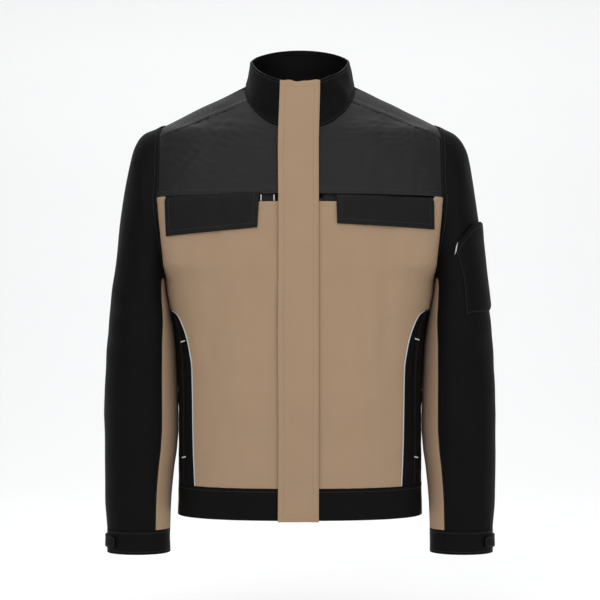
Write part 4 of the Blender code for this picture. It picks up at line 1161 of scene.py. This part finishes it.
# chest flaps
flap = dict(out=0.0016, thick=0.0026, roll=0.0012, stitchIn=0.0075)
flapCuts = {
    "left": dict(side=1, inX=(0.0556, 0.0570), outX=(0.2060, 0.2068), inZ=(-0.1816, -0.2275),
                 outZ=(-0.1870, -0.2357)),
    "right": dict(side=-1, inX=(0.0622, 0.0654), outX=(0.2085, 0.2060), inZ=(-0.1776, -0.2336),
                  outZ=(-0.1851, -0.2463)),
}


def flapSkin(cut):
    def skin(u, v):
        x = lerp(lerp(cut["inX"][0], cut["inX"][1], v), lerp(cut["outX"][0], cut["outX"][1], v), u)
        z = lerp(lerp(cut["inZ"][0], cut["inZ"][1], v), lerp(cut["outZ"][0], cut["outZ"][1], v), u)
        return pushed(x, z, 0 * x + flap["out"] + flap["thick"], cut["side"])
    return skin


def flapRelief(seed):
    def relief(a, b, c, d, points):
        x = points[..., 0]
        z = points[..., 2]
        calm = smooth(0, 0.010, np.minimum(np.minimum(a, b), d))
        high = -0.0034 * (1 - smooth(0.0, 0.010, c)) ** 2
        high = high + 0.0007 * noise(seed, 0.045, x, z) * calm
        high = high + 0.0007 * smooth(0.02, 0.05, c) * noise(seed + 1, 0.09, x, z)
        high = high + puckers(c, x, seed + 2, 0.0006, 0.013, 0.014) + puckers(d, x, seed + 3, 0.0003)
        for edge in (a, b, d):
            high = high - 0.00028 * hill(flap["stitchIn"], 0.0009, edge)
        return high
    return relief


for name, cut in flapCuts.items():
    node = name + "_chest_flap"
    joint = (cut["side"] * 0.13, -0.11, cut["inZ"][0] * 0.5 + cut["outZ"][0] * 0.5 + 0.001)
    after = (joint[0], joint[1], joint[2] - 0.012)
    bend = ("torso", node, joint, after)
    made = sewPanel(node + "_cloth", flapSkin(cut), (0.165, 0.050), flapTwillPaintedLight, bodyName=node,
                    thick=flap["thick"], roll=flap["roll"], relief=flapRelief(131 + 7 * cut["side"]),
                    replaced=(node,), slot="black_cloth", blend=bend)
    for edge in ("left", "right", "head"):
        ends = (0.0075, 0.0075) if edge == "head" else (0.004, 0.0075)
        sewRow(*seamLine(made, edge, flap["stitchIn"], ends), "black", node, bend)
print("chest flaps sewn")

# sleeves, cuffs and the sleeve pocket
arm = dict(length=body["tipZ"] - highOf("left_cuff").z - 0.0008, span=0.312, gap=0.0024, clear=0.0003,
           cuffHalf=0.050, cuffDeep=0.045, forward=0.015, cuffThick=0.0030)
arm["cuffX"] = (lowOf("left_cuff").x + highOf("left_cuff").x) / 2
cuffTopZ = body["tipZ"] - arm["length"]
cuffLowZ = lowOf("left_cuff").z


def sleeveLines(s):
    drop = curve([(0, 0), (0.09, 0.06), (0.27, 0.26), (0.55, 0.57), (1, 1)], s)
    outerZ = body["tipZ"] - arm["length"] * drop + 0.0042 * smooth(0.02, 0.0, drop)
    share = curve([(0, 0), (0.0060, 0.110), (0.0150, 0.240), (0.0392, 0.400), (0.0675, 0.495),
                   (0.138, 0.600), (0.253, 0.728), (0.361, 0.825), (0.46, 0.903), (0.61, 0.98),
                   (0.72, 1.0)], drop)
    outerX = lerp(body["shoulderHalf"] + arm["gap"] * 0.5, arm["span"], share)
    outerX = lerp(outerX, arm["cuffX"] + arm["cuffHalf"], curve([(0.72, 0), (0.94, 0.55), (1, 1)], drop))
    fall = s**1.5
    innerZ = lerp(armpitZ, cuffTopZ, fall)
    beside = halfWidth(innerZ) + arm["clear"]
    innerX = lerp(beside, arm["cuffX"] - arm["cuffHalf"],
                  curve([(0.6, 0), (0.68, 0.2), (0.75, 0.5), (0.87, 0.84), (1, 1)], fall))
    return outerX, outerZ, innerX, innerZ


def sleeve(psi, s, side=1, close=0.0):
    psi, s = np.broadcast_arrays(np.asarray(psi, float), np.asarray(s, float))
    outerX, outerZ, innerX, innerZ = sleeveLines(s)
    power = 2 / curve([(0, 2.2), (0.3, 2.1), (1, 2.1)], s)
    cos = np.sign(np.cos(psi)) * np.abs(np.cos(psi)) ** power
    sin = np.sign(np.sin(psi)) * np.abs(np.sin(psi)) ** power
    x = (outerX + innerX) / 2 + (outerX - innerX) / 2 * cos
    z = (outerZ + innerZ) / 2 + (outerZ - innerZ) / 2 * cos
    hole = np.where(sin > 0, body["armholeFront"], body["armholeBack"])
    depth = np.where(
        s < 0.15, lerp(hole, curve([(0, 0.0775), (0.15, 0.076), (0.45, 0.069)], s), smooth(0, 0.15, s)),
        curve([(0.15, 0.076), (0.45, 0.069), (0.8, 0.057), (1, arm["cuffDeep"])], s))
    fit = np.clip(1 - s / lerp(0.2, 0.03, smooth(-0.1, 0.6, np.cos(psi))), 0, 1) ** 2
    x = x + (halfWidth(z) + arm["gap"] * (1 - close) - x) * fit
    y = -curve([(0, 0), (0.5, 0.004), (1, arm["forward"])], s) - depth * sin
    return stack(side * x, y, z)


def underSeam(s):
    # how far round the sleeve its tan underside starts, in degrees from the outside
    turns = [(0, 160), (0.05, 150), (0.12, 141), (0.2, 137), (0.3, 134), (0.45, 129), (1, 126)]
    return np.radians(curve(turns, s))


def sleeveFolds(seed, strength=1.0):
    def relief(a, b, c, d, points):
        x = points[..., 0]
        y = points[..., 1]
        z = points[..., 2]
        drop = body["tipZ"] - z
        calm = smooth(0.0, 0.05, np.minimum(c, d)) * smooth(0.0, 0.03, np.minimum(a, b))
        calm = calm * smooth(0.002, 0.030, np.abs(x) - halfWidth(z))
        high = 0.0015 * noise(seed, 0.13, x * 0.9 + 0.5 * z, y + 0.15 * z) * calm * strength
        high = high + 0.0008 * noise(seed + 2, 0.05, y + 0.3 * z, z * 0.45) * calm * strength
        bend = hill(0.33, 0.10, drop) * smooth(0.0, 0.05, np.minimum(a, b))
        elbow = 0.5 + 0.5 * np.sin((drop + 0.5 * y) * 2 * math.pi / 0.052)   # creases inside the elbow
        high = high - 0.0013 * bend * elbow * hill(-0.06, 0.05, y) * strength
        high = high + puckers(c, y, seed + 4, 0.0006, 0.012, 0.012)
        high = high + puckers(d, x + y, seed + 5, 0.0005, 0.012) + seamBand(c, 0.0, 0.0, (0.0018, 0.0075))
        return high + seamBand(np.minimum(a, b), 0.0, 0.0, (0.0018,))
    return relief


def sleeveBlend(side, node):
    # the body, the sleeve and two points: the armhole's lowest point and one 55 mm past it out along the
    # arm
    way = np.array([0.95, 0.0, -0.31])
    way = way / np.linalg.norm(way)
    start = np.array([body["chestHalf"] + 0.004, 0.0, armpitZ])
    end = start + way * 0.055
    return ("torso", node, (side * start[0], 0.0, start[2]), (side * end[0], 0.0, end[2]))


sleeveRows = cutRows(0.66, step=0.0036)
for side, name in halves:
    node = name + "_sleeve"
    bend = sleeveBlend(side, node)

    def outerSkin(u, v, side=side):
        limit = underSeam(v)
        return sleeve(lerp(-limit, limit, u), v, side, close=0.8)

    def underSkin(u, v, side=side):
        limit = underSeam(v)
        return sleeve(lerp(limit, 2 * math.pi - limit, u), v, side, close=0.8)

    heart = (side * arm["cuffX"], 0.0, -0.40)
    outer = sewPanel(node + "_cloth", outerSkin, (0.36, 0.66), blackTwill, bodyName=node,
                     relief=sleeveFolds(151 + side), replaced=(node + "_outer",), slot="black_cloth",
                     blend=bend, core=heart, edges=(cutRows(0.36, step=0.0036), sleeveRows))
    under = sewPanel(node + "_under_cloth", underSkin, (0.10, 0.66), tanTwill, bodyName=node,
                     relief=sleeveFolds(161 + side, 0.45), replaced=(node + "_under",), slot="tan_cloth",
                     blend=bend, core=heart, edges=(cutRows(0.10, step=0.0036), sleeveRows))
    for inset in (0.0018, 0.0075):
        sewRow(*seamLine(outer, "foot", inset, (0.0, 0.0)), "black", node, bend)
    for edge in ("left", "right"):
        sewRow(*seamLine(outer, edge, 0.0018, (0.01, 0.002)), "black", node, bend)

    def cuffSkin(u, v, side=side):
        at = sleeve(2 * math.pi * u, 1.0 + 0 * u, side)
        at[..., 2] = lerp(cuffLowZ, cuffTopZ, v)
        return at

    def cuffRelief(a, b, c, d, points):
        high = 0.0002 + 0.0003 * noise(171, 0.03, points[..., 0] * 2, points[..., 1] + points[..., 2])
        high = high * smooth(0, 0.01, np.minimum(a, b)) + 0 * a
        return high - 0.00025 * hill(0.0045, 0.0009, d) - 0.00025 * hill(0.0045, 0.0009, c)

    cuff = sewPanel(name + "_cuff_cloth", cuffSkin, (0.30, 0.038), blackTwill, bodyName=node,
                    thick=arm["cuffThick"], roll=0.0012, relief=cuffRelief, replaced=(name + "_cuff",),
                    slot="black_cloth", core=(side * arm["cuffX"], -arm["forward"], -0.72), closed=True,
                    edges=(np.linspace(0, 1, 97), cutRows(0.038)))
    for edge in ("head", "foot"):
        sewRow(*seamLine(cuff, edge, 0.0045), "black", node)

    tab = dict(start=51.0, end=-70.0, height=0.019, out=0.0032, thick=0.0018, stitchIn=0.0028)
    middle = (cuffTopZ + cuffLowZ) / 2

    def tabSkin(u, v, side=side):
        at = sleeve(np.radians(lerp(tab["end"], tab["start"], u)), 1.0 + 0 * u, side)
        tip = smooth(0.93, 1.0, u) * 0.25
        at[..., 2] = middle + tab["height"] * (v - 0.5) * (1 - tip)
        return at

    def tabRelief(a, b, c, d, points):
        near = np.minimum(np.minimum(b, a), np.minimum(c, d))
        high = tab["out"] - 0.0012 * (1 - smooth(0.0, 0.012, a)) + 0.0005 * smooth(0.02, 0.0, b)
        high = high - 0.00022 * hill(tab["stitchIn"], 0.0008, near)
        return high + 0.0002 * noise(175, 0.02, points[..., 1], points[..., 2])

    tabNode = name + "_cuff_tab"
    made = sewPanel(tabNode + "_cloth", tabSkin, (0.085, 0.019), blackTwill, bodyName=tabNode,
                    thick=tab["thick"], roll=0.0008, relief=tabRelief, replaced=(tabNode,),
                    slot="black_cloth", core=(side * arm["cuffX"], -arm["forward"], -0.72),
                    edges=(cutRows(0.085), cutRows(0.019)))
    for edge in ("head", "foot", "right", "left"):
        sewRow(*seamLine(made, edge, tab["stitchIn"], (tab["stitchIn"],) * 2), "black", tabNode)
print("sleeves and cuffs sewn")

sleevePocket = dict(out=0.0012, thick=0.0016, stitchIn=0.0022, hem=0.0085)


def pocketSkin(u, v):
    lean = 15.0 * np.clip((v - 0.3) / 0.7, 0, 1) ** 1.6
    psi = np.radians(lerp(80.0 + lean, -8.0, u))
    top = lerp(0.176, 0.270, u) + 0.003 * np.sin(u * math.pi)
    foot = lerp(0.408, 0.440, u) + 0.016 * np.sin(u * math.pi) ** 2
    return sleeve(psi, lerp(foot, top, v), 1)


def pocketRelief(a, b, c, d, points):
    near = np.minimum(np.minimum(a, b), c)
    high = sleevePocket["out"] + sleevePocket["thick"] - 0.0011 * (1 - smooth(0.0, 0.006, near))
    high = high + 0.0022 * hill(0.0, 0.030, d) * smooth(0.0, 0.03, np.minimum(a, b))
    high = high - 0.00025 * hill(sleevePocket["hem"], 0.0009, d)
    high = high - 0.00025 * hill(sleevePocket["stitchIn"], 0.0008, near)
    high = high + puckers(near, points[..., 2], 181, 0.0004)
    return high + 0.0005 * noise(183, 0.04, points[..., 1], points[..., 2])


leftBend = sleeveBlend(1, "left_sleeve")
made = sewPanel("sleeve_pocket_cloth", pocketSkin, (0.10, 0.125), blackTwill, bodyName="left_sleeve",
                thick=sleevePocket["thick"], relief=pocketRelief, replaced=("sleeve_pocket",),
                slot="black_cloth", blend=leftBend, core=(arm["cuffX"], 0, -0.30))
for edge, inset, ends in (("left", sleevePocket["stitchIn"], (0.002, 0.001)),
                          ("right", sleevePocket["stitchIn"], (0.002, 0.001)),
                          ("foot", sleevePocket["stitchIn"], (0.002, 0.002)),
                          ("head", sleevePocket["hem"], (0.001, 0.001))):
    sewRow(*seamLine(made, edge, inset, ends), "black", "left_sleeve", leftBend)


def markSkin(u, v):
    psi = np.radians(lerp(94.5, 91.0, u) - 3.5 * v)
    return sleeve(psi, lerp(0.196, 0.180, v) + 0 * u, 1)


sewPanel("sleeve_pocket_tape", markSkin, (0.0036, 0.0100), reflectiveTape, bodyName="left_sleeve",
         out=sleevePocket["out"] + sleevePocket["thick"] + 0.0026, thick=0.0008,
         replaced=("sleeve_pocket_tab",), slot="reflective", blend=leftBend,
         core=(arm["cuffX"], 0, -0.30))
print("sleeve pocket sewn")

# bags inside the pockets, zip guard
def bagPanel(name, skin, size, node):
    # plain lining, a little behind the outer cloth
    rows = np.linspace(0, 1, 25)
    sewPanel(name, skin, size, liningCloth, thick=0.0012, replaced=(node,), slot="pocketing",
             relief=lambda a, b, c, d, points: 0.0003 * noise(191, 0.03, points[..., 0], points[..., 2]),
             out=-cloth["thick"] - 0.0052, edges=(rows, rows))


for side, name in halves:
    lowC = lowOf(name + "_chest_pocket")
    highC = highOf(name + "_chest_pocket")
    insides = sorted((abs(lowC.x), abs(highC.x)))
    heights = (lowC.z, highC.z)

    def chestBag(u, v, side=side, insides=insides, heights=heights):
        return front(lerp(insides[0], insides[1], u), lerp(heights[0], heights[1], v), side)

    bagPanel(name + "_chest_bag", chestBag, (0.14, 0.12), name + "_chest_pocket")
    lowH = lowOf(name + "_hand_pocket")
    highH = highOf(name + "_hand_pocket")

    def handBag(u, v, side=side, heights=(lowH.z, highH.z)):
        z = lerp(heights[0], heights[1], v)
        low = phiAt(pipingEdge(z, side) - 0.070, z)
        return torso(lerp(low, phiAt(slitEdge(z, side) - 0.002, z), u), z, side)

    bagPanel(name + "_hand_bag", handBag, (0.08, 0.2), name + "_hand_pocket")

guard = dict(low=lowOf("zip_guard"), high=highOf("zip_guard"), out=-0.0094)


def guardSkin(u, v):
    x = lerp(guard["low"].x, guard["high"].x, u)
    z = lerp(guard["low"].z, guard["high"].z, v)
    return stack(x, -frontArc(z) - guard["out"], z)


sewPanel("zip_guard_cloth", guardSkin, (0.046, 0.58), blackTwill, thick=0.0012, replaced=("zip_guard",),
         slot="black_cloth", core=(0, 0, -0.3),
         relief=lambda a, b, c, d, points: 0.0003 * noise(195, 0.03, points[..., 0], points[..., 2]))
print("linings ready")

# zip teeth
teeth = dict(pitch=0.0026, wide=0.0033, deep=0.0024, high=0.0015, back=0.0054,
             low=lowOf("zip_teeth_left").z, top=highOf("zip_teeth_left").z)


def makeTeeth(name, side, node):
    first = teeth["low"] + (0.0 if side > 0 else teeth["pitch"] / 2)
    spots = np.arange(first, teeth["top"] - 0.001, teeth["pitch"])
    shape = [(-0.0006, -0.4, -0.42), (0.0018, -0.5, -0.5), (0.0034, -0.5, -0.5), (0.0034, 0.5, -0.5),
             (0.0018, 0.5, -0.5), (-0.0006, 0.4, -0.42), (-0.0006, -0.4, 0.42), (0.0018, -0.5, 0.5),
             (0.0034, -0.5, 0.5), (0.0034, 0.5, 0.5), (0.0018, 0.5, 0.5), (-0.0006, 0.4, 0.42)]
    quads = [(0, 1, 4, 5), (1, 2, 3, 4), (11, 10, 7, 6), (10, 9, 8, 7), (0, 6, 7, 1), (1, 7, 8, 2),
             (2, 8, 9, 3), (3, 9, 10, 4), (4, 10, 11, 5), (5, 11, 6, 0)]
    points = []
    faces = []
    for z in spots:
        start = len(points)
        y = -float(frontArc(z)) + teeth["back"]
        for x, out, up in shape:
            points.append((side * (x + 0.0002), y + out * teeth["deep"], z + up * teeth["high"]))
        for quad in quads:
            ring = quad if side < 0 else quad[::-1]
            faces.append(tuple(i + start for i in ring))
    made = meshObject(name, points, faces, smoothShade=False)
    place(made, zipTeeth, "torso", (node,), "zip_teeth")


makeTeeth("teeth_left", 1, "zip_teeth_left")
makeTeeth("teeth_right", -1, "zip_teeth_right")

# bar tacks: close rows of thread across each end of the pocket mouths
for side, name in halves:
    for end in ("top", "foot"):
        node = "%s_bartack_%s" % (name, end)
        low = lowOf(node)
        high = highOf(node)
        z = (low.z + high.z) / 2 + (0.0058 if end == "top" and side > 0 else 0.0025)
        middle = (abs(low.x) + abs(high.x)) / 2 - (0.0050 if end == "top" else 0.0008)
        half = 0.0034
        xs = np.linspace(middle - half, middle + half, 60)
        for lift in (0.0, 0.00035):
            for row in (-0.0008, 0.0, 0.0008):
                height = z - 0.33 * (xs - middle) + row * (0.4 if lift else 1)
                spot = pushed(xs, height, 0 * xs + 0.0012 + lift, side)
                facing = unit(np.stack((side * 0.45 + 0 * xs, -0.9 + 0 * xs, 0 * xs), axis=1))
                sewRow(spot, facing, "white", "torso", None, pitch=0.0020, size=1.15)
makeStitches()

# loop in the neck
loop = dict(half=0.030, drop=0.020, cord=0.0017, deep=0.0061)
t = np.linspace(-1, 1, 49)
x = loop["half"] * t
y = body["neckBack"] * np.sqrt(1 - (x / body["neckHalf"]) ** 2) - loop["deep"]
z = 0.004 - loop["drop"] * (1 - t**4)
makeCord("hanger_loop_cord", np.stack((x, y, z), axis=1), loop["cord"], zipTape, "hanger_loop", "zip_tape")

# finishes of the small parts that stay as they are
keptLooks = {
    "neck_label": labelCloth, "zip_box": zipMetal, "zip_slider": zipMetal, "zip_pull": zipMetal,
    "zip_tape_left": zipTape, "zip_tape_right": zipTape, "zip_top_stop_left": zipMetal,
    "zip_top_stop_right": zipMetal, "storm_hook_strip": gripTape, "storm_loop_strip": gripTape,
    "left_flap_loop": gripTape, "right_flap_loop": gripTape, "left_tab_loop": gripTape,
    "right_tab_loop": gripTape, "reflective_tab_inner": reflectiveTape,
    "reflective_tab_outer": reflectiveTape,
}
for node, look in keptLooks.items():
    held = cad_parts[node]
    held.data.materials.clear()
    held.data.materials.append(look)
print("small parts finished")

# studio: one pale sweep, big soft lamps
studio = dict(floorZ=body["hemZ"] - 0.22, wide=60.0, near=-30.0, bend=2.2, round=1.4, high=6.0)
points = []
profile = [(studio["near"], studio["floorZ"])]
for k in range(13):
    turn = math.pi / 2 * k / 12
    profile.append((studio["bend"] + studio["round"] * math.sin(turn),
                    studio["floorZ"] + studio["round"] * (1 - math.cos(turn))))
profile.append((studio["bend"] + studio["round"], studio["high"]))
for y, z in profile:
    points += [(-studio["wide"] / 2, y, z), (studio["wide"] / 2, y, z)]
faces = [(2 * k, 2 * k + 1, 2 * k + 3, 2 * k + 2) for k in range(len(profile) - 1)]
sweep = meshObject("studio_sweep", points, faces)
paper = bpy.data.materials.new("palePaper")
paper.use_nodes = True
shader = paper.node_tree.nodes["Principled BSDF"]
grain = nodeOf(paper.node_tree, "ShaderNodeTexNoise", Scale=40.0)
tone = nodeOf(paper.node_tree, "ShaderNodeMix", data_type="RGBA")
tone.inputs[6].default_value = (0.78, 0.78, 0.78, 1)
tone.inputs[7].default_value = (0.80, 0.80, 0.80, 1)
paper.node_tree.links.new(grain.outputs["Fac"], tone.inputs[0])
paper.node_tree.links.new(tone.outputs[2], shader.inputs["Base Color"])
shader.inputs["Roughness"].default_value = 0.95
shader.inputs["Specular IOR Level"].default_value = 0.1
shader.inputs["Emission Color"].default_value = (1, 1, 1, 1)
shader.inputs["Emission Strength"].default_value = 0.30
sweep.data.materials.append(paper)

lamps = {
    "key": dict(at=(-0.9, -3.2, 1.6), aim=(0, 0, -0.30), size=2.0, power=44),
    "fill": dict(at=(1.6, -3.0, 0.7), aim=(0, 0, -0.35), size=2.2, power=27),
    "top": dict(at=(0.0, -0.4, 2.2), aim=(0, 0, -0.2), size=2.2, power=25),
    "back": dict(at=(0.0, 2.0, 1.9), aim=(0, 0.5, -0.3), size=2.4, power=20),
}
for name, lamp in lamps.items():
    light = bpy.data.lights.new(name, "AREA")
    light.size = lamp["size"]
    light.energy = lamp["power"]
    held = bpy.data.objects.new(name, light)
    held.location = lamp["at"]
    way = Vector(lamp["aim"]) - Vector(lamp["at"])
    held.rotation_euler = way.to_track_quat("-Z", "Y").to_euler()
    bpy.context.scene.collection.objects.link(held)
world = bpy.data.worlds.new("studio")
world.use_nodes = True
world.node_tree.nodes["Background"].inputs["Color"].default_value = (0.95, 0.97, 1.0, 1)
world.node_tree.nodes["Background"].inputs["Strength"].default_value = 0.35
bpy.context.scene.world = world
print("studio ready")
